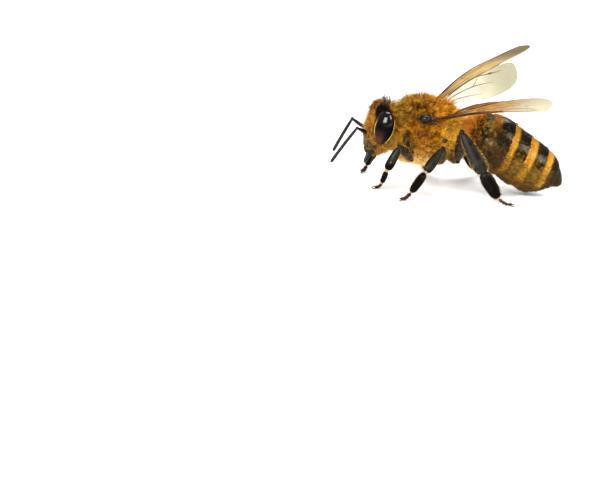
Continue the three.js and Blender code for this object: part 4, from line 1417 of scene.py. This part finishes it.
class Blade:
    """A wing's surface: t runs from hinge to tip and c from the leading to the trailing edge."""

    def __init__(self, node, hinge, camber, root_width, tip_rise, bow, length_share):
        shares, front, rear, normal, back = blade_lines(node, hinge)
        given = np.concatenate([[0.0], shares])
        self.t = np.sin(np.linspace(0, math.pi / 2, BLADE_STOPS))
        edges = []
        for edge, behind in ((front, -0.4), (rear, 0.6)):
            edge = np.concatenate([[hinge + back * root_width * behind], edge])
            reached = self.t * length_share
            line = np.stack([np.interp(reached, given, edge[:, k]) for k in range(3)], -1)
            even_out(line, EDGE_EVENED)
            edges.append(line)
        self.normal, self.camber = normal, camber
        self.tip_rise, self.bow = tip_rise, bow
        middle, half = (edges[0] + edges[1]) / 2, (edges[1] - edges[0]) / 2
        bend = np.searchsorted(self.t, ROUND_FROM)
        slope = (middle[bend] - middle[bend - 24]) / (self.t[bend] - self.t[bend - 24])
        beyond = np.clip(self.t - self.t[bend], 0, 1)[:, None]
        straight = middle[bend] + slope * beyond
        middle = np.where(beyond > 0, (1 - TIP_STRAIGHT) * middle + TIP_STRAIGHT * straight, middle)
        rounding = (1 - (beyond[:, 0] / (1 - self.t[bend])) ** 2.5) ** 0.4
        outer_half = half[bend] * rounding[:, None]
        half = np.where(beyond > 0, outer_half, half)
        middle = middle - half[bend] * TIP_FORWARD * (1 - np.where(beyond > 0, rounding[:, None], 1.0))
        self.front, self.rear = middle - half, middle + half

    def at(self, t, c, lift=0.0):
        t, c = np.asarray(t, float), np.asarray(c, float)
        front = np.stack([np.interp(t, self.t, self.front[:, k]) for k in range(3)], -1)
        rear = np.stack([np.interp(t, self.t, self.rear[:, k]) for k in range(3)], -1)
        place = front + (rear - front) * c[..., None]
        fold = 0.014 * np.sin(c * 17.0) * np.sin(np.clip(t, 0, 1) * math.pi) * (1 - c)
        bulge = self.camber * np.sin(c * math.pi) * np.sin(np.clip(t, 0, 1) * math.pi) + fold
        place[..., 2] += self.tip_rise * t + self.bow * 4 * t * (1 - t)
        return place + self.normal * (bulge + lift)[..., None]


def amber_membrane(name, clearest, slanted, tint, shade, outer, root, inner=1.0):
    """Wing membrane: dry clear chitin film. It is nearly clear seen square on, and amber and
    glossy at a slant; tiny hairs make its outer part milky. Its colours are given for each wing,
    and differ between the sides as painted light and shade."""
    material, tree, shader, place = new_finish(name, Roughness=0.28, Specular_IOR_Level=0.2)
    clouds = add(tree, "ShaderNodeTexNoise", [place, 1 / 0.6, 0.5])
    out = add(tree, "ShaderNodeAttribute", attribute_name="along_wing").outputs["Fac"]
    slant = add(tree, "ShaderNodeLayerWeight", {"Blend": 0.5}).outputs["Facing"]
    colour = laid(tree, tint, shade, (clouds, 0.25, 0.75))
    colour = laid(tree, colour, root, (out, 0.42, 0.05))
    dress(tree, shader, laid(tree, colour, outer, (out, 0.5, 0.85)))
    cover = fade(tree, (slant, 0.25, 0.98, clearest, slanted), (out, 0.35, 0.8, inner, 1.0))
    fill(tree, shader, {"Alpha": cover})
    return material


def vein_chitin():
    """Wing veins: hollow tubes of dark red-brown chitin, lighter toward the tip."""
    material, tree, shader, place = new_finish("vein_chitin", Roughness=0.36, Specular_IOR_Level=0.1)
    out = add(tree, "ShaderNodeAttribute", attribute_name="along_wing").outputs["Fac"]
    tone = add(tree, "ShaderNodeTexNoise", [place, 1 / 0.3])
    colour = laid(tree, "#1e0a04", "#5e3a14", (out, 0.2, 0.85))
    dress(tree, shader, laid(tree, colour, "#5b3414", (tone, 0.4, 0.7, 0.0, 0.4)), tone, 0.01)
    return material


# Each vein: half thickness, then its way as (t, c) points.
FOREWING_VEINS = [
    (0.044, [(0.03, 0.92), (0.16, 0.95), (0.30, 0.97), (0.48, 0.985), (0.66, 0.99)]),
    (0.078, [(0.00, 0.30), (0.10, 0.10), (0.30, 0.035), (0.50, 0.02), (0.72, 0.015)]),
    (0.040, [(0.02, 0.45), (0.12, 0.26), (0.30, 0.13), (0.48, 0.085), (0.61, 0.07)]),
    (0.036, [(0.03, 0.60), (0.14, 0.44), (0.26, 0.36), (0.36, 0.34)]),
    (0.026, [(0.36, 0.34), (0.40, 0.22), (0.44, 0.16), (0.47, 0.09)]),
    (0.024, [(0.36, 0.34), (0.42, 0.42), (0.50, 0.48), (0.58, 0.52), (0.68, 0.62)]),
    (0.028, [(0.03, 0.78), (0.14, 0.74), (0.28, 0.74), (0.40, 0.78), (0.48, 0.84)]),
    (0.022, [(0.37, 0.36), (0.37, 0.55), (0.36, 0.76)]),
    (0.026, [(0.61, 0.02), (0.70, 0.015), (0.80, 0.03), (0.89, 0.07), (0.93, 0.13)]),
    (0.026, [(0.60, 0.07), (0.66, 0.16), (0.74, 0.20), (0.83, 0.20), (0.90, 0.17), (0.93, 0.13)]),
    (0.022, [(0.42, 0.19), (0.48, 0.26), (0.54, 0.31), (0.60, 0.33)]),
    (0.022, [(0.60, 0.33), (0.59, 0.22), (0.61, 0.09)]),
    (0.020, [(0.60, 0.33), (0.66, 0.38), (0.71, 0.39), (0.77, 0.38)]),
    (0.020, [(0.68, 0.385), (0.68, 0.28), (0.67, 0.18)]),
    (0.020, [(0.77, 0.38), (0.81, 0.31), (0.81, 0.20)]),
    (0.018, [(0.54, 0.31), (0.56, 0.42), (0.58, 0.52)]),
    (0.018, [(0.72, 0.39), (0.70, 0.50), (0.68, 0.62)]),
    (0.016, [(0.77, 0.38), (0.84, 0.42), (0.89, 0.46)]),
]
HINDWING_VEINS = [
    (0.036, [(0.00, 0.35), (0.15, 0.16), (0.35, 0.07), (0.55, 0.05), (0.66, 0.04)]),
    (0.026, [(0.55, 0.06), (0.66, 0.14), (0.76, 0.20), (0.84, 0.22)]),
    (0.026, [(0.04, 0.55), (0.18, 0.42), (0.34, 0.36), (0.46, 0.36), (0.58, 0.42), (0.70, 0.50)]),
    (0.020, [(0.46, 0.36), (0.50, 0.26), (0.55, 0.12), (0.565, 0.065)]),
    (0.022, [(0.05, 0.76), (0.20, 0.70), (0.36, 0.70), (0.52, 0.76)]),
]
# Each kind of wing: its veins, its hinge from the wing cap's middle, how far it bulges, how wide its
# root is, and its thickened vein: start and end as (t, c), breadths and depths.
FRAMES = {
    "forewing": (FOREWING_VEINS, (0.71, -0.04, -0.02), 0.10, 0.42, (
        (0.55, 0.05), (0.64, 0.05), [0.06, 0.16, 0.17, 0.07], [0.05, 0.09, 0.09, 0.05])),
    "hindwing": (HINDWING_VEINS, (1.22, -0.05, -0.08), 0.06, 0.36, (
        (0.675, 0.150), (0.735, 0.185), [0.05, 0.12, 0.13, 0.06], [0.05, 0.09, 0.09, 0.05])),
}
# How far the tips rise and the middles bow up on each side.
CARRIAGE = {"left": (-0.55, 0.34), "right": (0.22, 0.0)}
# Each wing: the share of its node's length that it fills, and its film: cover seen square on and
# at a slant, two colours, those of the outer part and the root, and cover of the inner part.
# The four films are one membrane, coloured differently on the two sides as painted light and shade: the
# near left wings warmer amber and gold, the far right ones tan and olive.
WINGS = [
    ("forewing", "left", 0.94, "amber_membrane",
     (0.62, 0.98, "#8e5a1a", "#aa7c32", "#a69c7a", "#6a3c12")),
    ("hindwing", "left", 0.92, "gold_membrane",
     (0.6, 0.95, "#9a6a24", "#b48436", "#a08a54", "#6a3c12")),
    ("forewing", "right", 0.97, "far_forewing_painted_membrane",
     (0.62, 0.98, "#ac8c50", "#c2a264", "#66562c", "#94692a")),
    ("hindwing", "right", 0.93, "clear_membrane",
     (0.62, 0.9, "#8a8054", "#a0986c", "#7c764e", "#8c7440", 0.74)),
]


def dye_along(piece, values):
    """Keeps how far out along the wing each point is, for the finish."""
    field = piece.data.attributes.new("along_wing", "FLOAT", "POINT")
    field.data.foreach_set("value", np.asarray(values, np.float32))


vein_finish = vein_chitin()
for kind, side, length_share, film_name, film in WINGS:
    veins, hinge_at, camber, root_width, (start, end, broad, deep) = FRAMES[kind]
    tip_rise, bow = CARRIAGE[side]
    hinge = wing_point(SIDES[side], *hinge_at)
    blade = Blade(f"{kind}_{side}", hinge, camber, root_width, tip_rise, bow, length_share)
    out_along = np.sin(np.linspace(0, math.pi / 2, 90))
    t, c = np.meshgrid(out_along, np.linspace(0, 1, 28), indexing="ij")
    skin_shape = shell(blade.at(t, c, MEMBRANE / 2), blade.at(t, c, -MEMBRANE / 2))
    membrane = raw_object(f"{kind}_membrane_{side}", [skin_shape])
    dye_along(membrane, np.concatenate([t.ravel(), t.ravel()]))
    place_piece(membrane, amber_membrane(film_name, *film), "wing", f"{kind}_{side}")
    shapes, reach_out = [], []
    for half, way in veins:
        way = flow(way, np.linspace(0, 1, 6 * len(way)))
        taper = np.interp(np.linspace(0, 1, len(way)), [0, 0.7, 1], [1, 0.9, 0.4])
        shapes.append(tube(blade.at(way[:, 0], way[:, 1]), half * taper, 8))
        reach_out += list(np.repeat(way[:, 0], 8)) + [way[0, 0], way[-1, 0]]
    oval = limb(blade.at(*start), blade.at(*end), broad, deep, blade.normal, rings=14, sides=10)
    shapes.append(oval)
    reach_out += [start[0]] * len(oval[0])
    frame_of_veins = raw_object(f"{kind}_veins_{side}", shapes)
    dye_along(frame_of_veins, reach_out)
    place_piece(frame_of_veins, vein_finish, "wing")


# ---------------------------------------------------------------- legs
# Six jointed legs of slate-black shell. Hip, ring and thigh are rounded; the hind shin is a broad
# smooth pollen basket and the hind heel a flat brush. Pale skin shows round the heels.
def slate_chitin():
    """Leg shell: black with an olive-brown bloom, satin, very finely grained."""
    material, tree, shader, place = new_finish("slate_chitin", Specular_IOR_Level=0.07)
    level = add(tree, "ShaderNodeSeparateXYZ", [place]).outputs["Z"]
    tone = add(tree, "ShaderNodeTexNoise", [place, 1 / 0.4, 3.0])
    fine = add(tree, "ShaderNodeTexNoise", [place, 1 / 0.05, 3.0])
    low = fade(tree, (level, 2.1, 1.6))
    colour = laid(tree, "#070705", "#1b1912", (tone, 0.35, 0.65))
    colour = laid(tree, colour, "#3a2810", (fine, 0.55, 0.75, 0.0, 0.5))
    dress(tree, shader, laid(tree, colour, "#0a0604", low), fine, 0.012, 0.5)
    fill(tree, shader, {"Roughness": fade(tree, (tone, 0.3, 0.7, 0.26, 0.42)),
                        "Specular IOR Level": fade(tree, (low, 0.0, 1.0, 0.12, 0.02))})
    return material


def joint_skin():
    """Joint skin: soft folded membrane, pale tan-yellow and waxy."""
    material, tree, shader, place = new_finish("joint_skin", Roughness=0.5)
    tone = add(tree, "ShaderNodeTexNoise", [place, 1 / 0.12])
    folds = add(tree, "ShaderNodeTexNoise", [place, 1 / 0.05])
    dress(tree, shader, laid(tree, "#6b4b20", "#b48c4a", tone), folds, 0.02)
    return material


def foot_chitin():
    """Feet: small cup-shaped joints of dark red-brown shell, lighter where it is thin."""
    material, tree, shader, place = new_finish("foot_chitin", Roughness=0.36, Specular_IOR_Level=0.15)
    tone = add(tree, "ShaderNodeTexNoise", [place, 1 / 0.13, 3.0])
    grain = add(tree, "ShaderNodeTexNoise", [place, 1 / 0.05])
    dress(tree, shader, laid(tree, "#1a0704", "#48180c", (tone, 0.35, 0.7)), grain, 0.01)
    return material


# Breadths and depths of each segment from its near to its far end.
LEG_SHAPES = {
    "fore": {
        "coxa": ([0.60, 0.66, 0.60, 0.46], [0.55, 0.60, 0.54, 0.42]),
        "femur": ([0.36, 0.48, 0.56, 0.50, 0.38], [0.32, 0.42, 0.48, 0.42, 0.34]),
        "tibia": ([0.38, 0.52, 0.60, 0.60, 0.50], [0.34, 0.42, 0.46, 0.44, 0.38]),
        "basitarsus": ([0.32, 0.36, 0.36, 0.34, 0.28], [0.28, 0.30, 0.30, 0.28, 0.24]),
    },
    "mid": {
        "coxa": ([0.66, 0.72, 0.64, 0.50], [0.60, 0.64, 0.56, 0.46]),
        "femur": ([0.38, 0.52, 0.60, 0.52, 0.40], [0.34, 0.44, 0.50, 0.44, 0.34]),
        "tibia": ([0.38, 0.54, 0.64, 0.66, 0.58], [0.34, 0.40, 0.46, 0.44, 0.38]),
        "basitarsus": ([0.42, 0.54, 0.56, 0.52, 0.38], [0.28, 0.32, 0.32, 0.30, 0.26]),
    },
    "hind": {
        "coxa": ([0.80, 0.88, 0.74, 0.56], [0.74, 0.80, 0.66, 0.52]),
        "femur": ([0.44, 0.64, 0.74, 0.62, 0.46], [0.38, 0.52, 0.56, 0.48, 0.38]),
        "tibia": ([0.44, 0.64, 0.82, 0.96, 1.02, 0.94], [0.36, 0.38, 0.38, 0.36, 0.34, 0.30]),
        "basitarsus": ([0.74, 0.86, 0.86, 0.76, 0.54], [0.30, 0.34, 0.34, 0.32, 0.26]),
    },
}
JOINT_GAP = 0.05
HIND_ANKLE_GAP = -0.05     # closed: heel and shin lap here
FOOT_JOINTS = 4
FOOT_JOINT_BREADTH = 0.31
LAST_FOOT_JOINT = 0.86     # of the others' breadth
FOOT_HEIGHTS = (0.22, 0.13, 0.15)     # of its axis at two bends and at the toe
TOE_SHORT = 0.24
PAD_HALF = np.array([0.10, 0.09, 0.05])

slate = slate_chitin()
soft_joint = joint_skin()
foot_finish = foot_chitin()
leg_parts = {}
for pair, shapes in LEG_SHAPES.items():
    for side, outer in SIDES.items():
        name = f"{pair}_{side}"
        hint = np.array([0.0, outer, 0.25])
        lines, nearest = [], thorax + [0.0, 0.0, -0.5]
        for segment in shapes:
            lines.append(limb_line(f"{segment}_{name}", nearest))
            nearest = lines[-1][1]
        heel = nearest
        joints = [lines[0][0], *(meeting(a, b) for a, b in zip(lines, lines[1:])), heel]
        folds, bends = [], []
        for order, (segment, (broad, deep)) in enumerate(shapes.items()):
            start, end = joints[order], joints[order + 1]
            run = unit(end - start)
            ankle_gap = HIND_ANKLE_GAP if pair == "hind" else JOINT_GAP
            near_gap = {"coxa": 0.0, "basitarsus": ankle_gap}.get(segment, JOINT_GAP)
            far_gap = {"coxa": 0.0, "tibia": ankle_gap}.get(segment, JOINT_GAP)
            shape = limb(start + run * near_gap, end - run * far_gap, broad, deep, hint, rings=34,
                         sides=22, bow=0.05 if segment == "femur" else 0.0, square=9)
            pieces = [shape]
            if segment == "femur":
                pieces.append(ball(start + run * 0.12, (0.19, 0.19, 0.17), 20, 14))
            piece = raw_object(f"{segment}_shell_{name}", pieces)
            leg_parts[(name, segment)] = (piece.data.copy(), start, end, hint)
            place_piece(piece, slate, "cuticle", f"{segment}_{name}")
            if order:
                soft = segment == "basitarsus" and pair != "hind"
                joint = ball(start, np.full(3, 0.5 * min(broad[0], deep[0]) - 0.01), 18, 12)
                (folds if soft else bends).append(joint)
        build_piece(f"knees_{name}", bends, slate, "cuticle")
        folds.append(ball(heel, (0.09, 0.09, 0.09), 16, 10))
        build_piece(f"joint_skin_{name}", folds, soft_joint, "cuticle")

        foot_node = node_points(f"foot_{name}")
        sole = foot_node[foot_node[:, 2] < 0.01]
        sole_middle = (sole.min(0) + sole.max(0)) / 2
        level = np.array([sole_middle[0] - heel[0], sole_middle[1] - heel[1], 0.0])
        heading = unit(level)
        toe_reach = ((foot_node - heel) @ heading).max()
        toe = heel + heading * (toe_reach - TOE_SHORT)
        way = np.array([heel, heel * 0.62 + toe * 0.38, heel * 0.25 + toe * 0.75, toe])
        way[1:, 2] = FOOT_HEIGHTS
        stops = flow(way, np.array([0.0, 0.22, 0.42, 0.60, 1.0]))
        parts = []
        for number in range(FOOT_JOINTS):
            broad = FOOT_JOINT_BREADTH * (LAST_FOOT_JOINT if number == FOOT_JOINTS - 1 else 1.0)
            widths = [broad * 0.55, broad * 0.85, broad * 1.08, broad * 0.95]
            run = unit(stops[number + 1] - stops[number])
            parts.append(limb(stops[number], stops[number + 1] + run * 0.02, widths,
                              [w * 0.7 for w in widths], upward, rings=16, sides=14, square=5))
        across = np.cross(heading, upward)
        end = stops[-1]
        for way_out in (-1, 1):
            bend = np.array([
                end, end + heading * 0.10 + across * way_out * 0.07 + upward * 0.03,
                end + heading * 0.20 + across * way_out * 0.11 - upward * 0.03,
                end + heading * 0.235 + across * way_out * 0.12 - upward * (end[2] - 0.02)])
            path = flow(bend, np.linspace(0, 1, 14))
            parts.append(tube(path, np.linspace(0.032, 0.006, 14), 8))
        build_piece(f"foot_joints_{name}", parts, foot_finish, "foot", f"foot_{name}")
        pad, pad_faces = ball(end + heading * 0.09 + [0, 0, 0.045 - end[2]], PAD_HALF, 24, 14)
        pad[:, 2] = np.maximum(pad[:, 2], 0.0)
        build_piece(f"foot_pad_{name}", [(pad, pad_faces)], soft_joint, "foot")


# ---------------------------------------------------------------- coat of the head
# Brown fuzz on the crown, orange-tan down on the face and cheeks, black bristles over the eyes.
# The face shield, the lip and the strips along the jaws stay almost bare.
on_head = skin_points[:, 0] < neck_x + SEAM_BEHIND_NECK
share_up = (skin_points[:, 2] - head_low[2]) / head_size[2]
share_back = (skin_points[:, 0] - head_low[0]) / head_size[0]
from_middle = np.abs(skin_points[:, 1] - middle_y)
head_map = round_map((head_low + head_high) / 2)

bare_head = np.zeros(len(skin_points))
for side, (centre, fore, out, tall, half) in eye_centres.items():
    inside = (skin_points - centre) @ np.stack([fore, out, tall]).T / (half * np.array([0.94, 1.3, 0.94]))
    bare_head = np.maximum(bare_head, (np.linalg.norm(inside, axis=1) < 1).astype(float))
    for place in rim_loops[side]:
        bare_head = np.maximum(bare_head, near(skin_points, place, (0.17, 0.17, 0.17)))
for foot in jaw_foot.values():
    bare_head = np.maximum(bare_head, near(skin_points, foot + [0.05, 0, 0.12], (0.3, 0.3, 0.36)))

crown_part = ramp(share_up, 0.60, 0.80)
back_part = ramp(share_back, 0.55, 0.85)
face_part = 1 - ramp(share_back, 0.25, 0.5)
head_reach = 0.20 + 0.01 * crown_part + 0.03 * face_part * ramp(share_up, 0.35, 0.6)
head_reach = head_reach + back_part * (0.20 + 0.10 * crown_part)
head_reach = head_reach - 0.11 * face_part * ramp(share_up, 0.36, 0.22)
shield_near = near(skin_points, shield_place, (0.5, 0.62, 0.62))
head_reach = head_reach * (1 - 0.72 * shield_near)
head_way = np.stack([0.9 * back_part - 0.3, np.zeros(len(skin_points)), 0.9 * crown_part - 0.6], -1)
head_lie = swept(skin_normals, head_way, 0.35)
head_hair = branched_hair("tan_branched_hair", body_markings, tip_share=0.42)
head_growth = on_head * (1 - bare_head) * (1 - 0.8 * shield_near)
lower = share_up < 0.56
for name, region, per_mm2, seed in (("coat_crown", ~lower, 380, 200), ("coat_face", lower, 360, 201)):
    grow_coat(name, skin_ground, (head_growth * region, head_reach, head_lie), lock, head_hair,
              head_map, per_mm2, seed, uneven=0.6, clump_size=0.17)
grow_coat("coat_head_streaks", skin_ground, (head_growth, head_reach * 1.25, head_lie), streak,
          head_hair, head_map, 170, 202, scatter=0.3, thickness=0.75, uneven=0.4, clump_size=0.17)
grow_coat("coat_head_long_hairs", skin_ground,
          (head_growth * (1 - shield_near), head_reach * 2.6, swept(skin_normals, head_way, 0.12)),
          feather, head_hair, head_map, 75, 203, scatter=0.3, thickness=1.1, uneven=0.75, clump_lean=0.5)


def black_bristle():
    """Stiff unbranched bristles: jet black and slightly glossy."""
    material, tree, shader, place = new_finish("black_bristle", Roughness=0.4, Specular_IOR_Level=0.3)
    tone = add(tree, "ShaderNodeTexNoise", [place, 1 / 0.3])
    dress(tree, shader, laid(tree, "#060504", "#1c140e", tone))
    return material


above_eyes = ramp(share_up, 0.74, 0.84) * ramp(share_back, 0.45, 0.6) * ramp(share_back, 0.9, 0.78)
above_eyes = above_eyes * ramp(from_middle, 0.2, 0.45)
grow_coat("coat_eye_bristles", skin_ground,
          (on_head * above_eyes * (1 - bare_head), np.full(len(skin_points), 1.15),
           swept(skin_normals, (0.05, 0.0, 1.0), 1.3)),
          single_hair, black_bristle(), head_map, 80, 210, scatter=0.36, thickness=1.5, uneven=0.5,
          clump_lean=0.5)


# ---------------------------------------------------------------- coat of the abdomen
# Erect orange hair on the front plate, and short bristles lying flat to the rear on the others,
# gold on the bands and black between them.
HAIR_SUNK = 0.015
HAIRY_BANDS = [(2.95, 3.46), (4.25, 4.9), (5.67, 6.26)]


def abdomen_ground(first, last, rows, columns):
    """An open sheet just under the face of the plates, for hair to grow on."""
    station, angle = np.meshgrid(np.linspace(first, last, rows),
                                 np.linspace(0.0, 2 * math.pi, columns), indexing="ij")
    depths = []
    for span in plate_spans:
        inside = (station >= span[0]) & (station <= span[1])
        depths.append(np.where(inside, plate_inset(*span, station), np.inf))
    inset = np.min(depths, axis=0) + BELLY_SUNK * ramp(np.sin(angle), -0.5, -0.62)
    points = abdomen_point(station, angle, inset + HAIR_SUNK).reshape(-1, 3)
    mesh = bpy.data.meshes.new("abdomen_ground")
    mesh.from_pydata(points.tolist(), [], grid_faces(rows, columns))
    normals = read_normals(mesh)
    if np.sum(normals * (points - points.mean(0))) < 0:
        mesh.flip_normals()
        normals = read_normals(mesh)
    return mesh, station.ravel(), angle.ravel(), normals


def abdomen_map(roots):
    """Map of the abdomen: station along it, and angle round it."""
    along = (roots @ rearward - abdomen_start) / abdomen_length
    around = np.arctan2(roots @ dorsal - axis_height, roots[:, 1] - middle_y) / (2 * math.pi) + 0.5
    return np.stack([along, around], -1)


def plain_hair(name, markings, tip_tint, tip_share, roughness=0.5):
    """Plain hair of the abdomen: amber or black as the shell below it, with a waxy shine."""
    material, tree, shader, place = new_finish(name, Roughness=roughness, Specular_IOR_Level=0.06)
    shade = add(tree, "ShaderNodeAttribute", attribute_name="shade").outputs["Fac"]
    up = add(tree, "ShaderNodeAttribute", attribute_name="up_hair").outputs["Fac"]
    colour = laid(tree, markings(tree, place), tip_tint, (up, 0.3, 1.2, 0.0, tip_share))
    brightness = fade(tree, (shade, 0.0, 1.0, 0.45, 1.5))
    dress(tree, shader, add(tree, "ShaderNodeHueSaturation", {"Value": brightness, "Color": colour}))
    return material


def band_hair_colour(tree, place):
    """The bands' own colours, browner under the belly."""
    colour, station, height = band_colour(tree, place)
    return laid(tree, colour, "#563a11", (height, -0.5, -1.2, 0.0, 0.8))


def front_hair_colour(tree, place):
    """Orange on the back of the first plate, duller down its sides."""
    station, height = along_abdomen(tree, place)
    clouds = add(tree, "ShaderNodeTexNoise", [place, 1 / 0.4])
    top = laid(tree, "#c26a10", "#e8981e", (clouds, 0.35, 0.65))
    return laid(tree, top, "#9a6a2a", (height, 0.2, -0.9))


sheet, station, angle, normals = abdomen_ground(0.01, 2.4, 90, 90)
growth = 1 - 0.72 * ramp(station, 0.36, 0.5) - 0.28 * ramp(station, 0.8, 1.0)
on_back = ramp(station, 1.3, 1.45) * ramp(station, 2.0, 1.75) * ramp(np.sin(angle), 0.8, 0.95)
growth = growth + 0.5 * on_back
front_reach = 0.72 - 0.54 * ramp(station, 0.3, 0.8)
grow_coat("coat_abdomen_front", sheet,
          (growth, front_reach, swept(normals, rearward, 0.9 * ramp(station, 0.2, 0.9) - 0.2)), lock,
          plain_hair("orange_plain_hair", front_hair_colour, "#f6c870", 0.5), abdomen_map, 330, 300,
          uneven=0.55)

sheet, station, angle, normals = abdomen_ground(1.2, 7.3, 160, 120)
below = ramp(np.sin(angle), -0.25, -0.75)
on_band = np.max([ramp(station, start - 0.06, start + 0.02) * ramp(station, end + 0.08, end)
                  for start, end in HAIRY_BANDS], axis=0)
growth = (0.16 + 0.84 * on_band) * (1 - below) + 0.5 * below
grow_coat("coat_abdomen_bands", sheet, (growth, 0.20 + 0.04 * below, swept(normals, rearward, 2.1)),
          single_hair, plain_hair("band_hair", band_hair_colour, "#e6b95c", 0.22, 0.6), abdomen_map,
          300, 310, scatter=0.3, clump_lean=0.6)


# ---------------------------------------------------------------- hair of the legs
# Buff fuzz on hips and thighs, a fringe on both edges of the pollen basket and of the hind heel,
# and short stiff dark brushes on shins and heels.
# Each segment: tufts to a square millimetre, their length, how flat they lie, and how much of
# them is left out but for the edges.
LEG_HAIR = {
    "coxa": (420, 0.20, 0.8, 0.0), "femur": (130, 0.20, 1.0, 0.25),
    "tibia": (24, 0.14, 1.6, 0.8), "basitarsus": (60, 0.13, 1.8, 0.7),
}
# Growth between the edges and at them, and how much longer the hair is there.
HIND_FRINGE = {"tibia": (0.03, 8.0, 0.12), "basitarsus": (0.15, 4.5, 0.10)}
LEG_TUFTS = 150
SHAGGY_MID_THIGH = 2.6
leg_shapes, leg_fields, leg_places = [], [], []
for (name, segment), (mesh, start, end, hint) in leg_parts.items():
    points, normals = read_points(mesh), read_normals(mesh)
    per_mm2, length, lay, edge_only = LEG_HAIR[segment]
    run = unit(end - start)
    out = unit(hint - run * (hint @ run))
    across = np.cross(run, out)
    offset = points - start - np.outer((points - start) @ run, run)
    edge = np.abs(unit(offset) @ across)
    share = (points - start) @ run / np.linalg.norm(end - start)
    fringe = HIND_FRINGE.get(segment) if name.startswith("hind") else None
    on_edge = ramp(edge, 0.955, 0.99) if fringe else ramp(edge, 0.75, 0.95)
    growth = per_mm2 / LEG_TUFTS * (1 - edge_only + edge_only * on_edge) * ramp(share, 0.0, 0.1)
    if fringe:
        between, at_edge, longer = fringe
        growth = growth * (between + at_edge * on_edge)
        length = length + longer * on_edge
    if name.startswith("mid") and segment == "femur":
        growth = growth * SHAGGY_MID_THIGH
    growth = growth * ramp(share, 1.03, 0.95)
    way = swept(normals, run, lay)
    leg_shapes.append((points, [tuple(p.vertices) for p in mesh.polygons]))
    leg_fields.append((growth, np.broadcast_to(length, growth.shape), way))
    leg_places.append((start, run, np.linalg.norm(end - start), out, across))


def leg_map(roots):
    """Map of the legs: one cell for each segment, with the way down it and the turn round it."""
    best = np.full(len(roots), np.inf)
    home = np.zeros((len(roots), 2))
    for number, (start, run, length, out, across) in enumerate(leg_places):
        along = np.clip((roots - start) @ run, 0, length)
        offset = roots - start - np.outer(along, run)
        away = np.linalg.norm(offset, axis=1)
        around = np.arctan2(offset @ across, offset @ out) / (2 * math.pi) + 0.5
        cell = np.array([number % 5, number // 5])
        place = (cell + 0.04 + 0.92 * np.stack([around, along / length], -1)) / 5
        home[away < best] = place[away < best]
        best = np.minimum(best, away)
    return home


def leg_hair_colour(tree, place):
    """Buff at the hips, dark brown further down."""
    height = add(tree, "ShaderNodeSeparateXYZ", [place]).outputs["Z"]
    upper = laid(tree, "#8a6226", "#c89a4c", add(tree, "ShaderNodeTexNoise", [place, 1 / 0.3]))
    return laid(tree, upper, "#3a2410", (height, 1.9, 1.1))


leg_sheet = raw_object("leg_sheet", leg_shapes)
on_show.unlink(leg_sheet)
grow_coat("coat_legs", leg_sheet.data, [np.concatenate(field) for field in zip(*leg_fields)],
          single_hair, plain_hair("leg_hair", leg_hair_colour, "#e0b468", 0.22), leg_map, LEG_TUFTS,
          400, scatter=0.25, uneven=0.5, clump_lean=0.4)
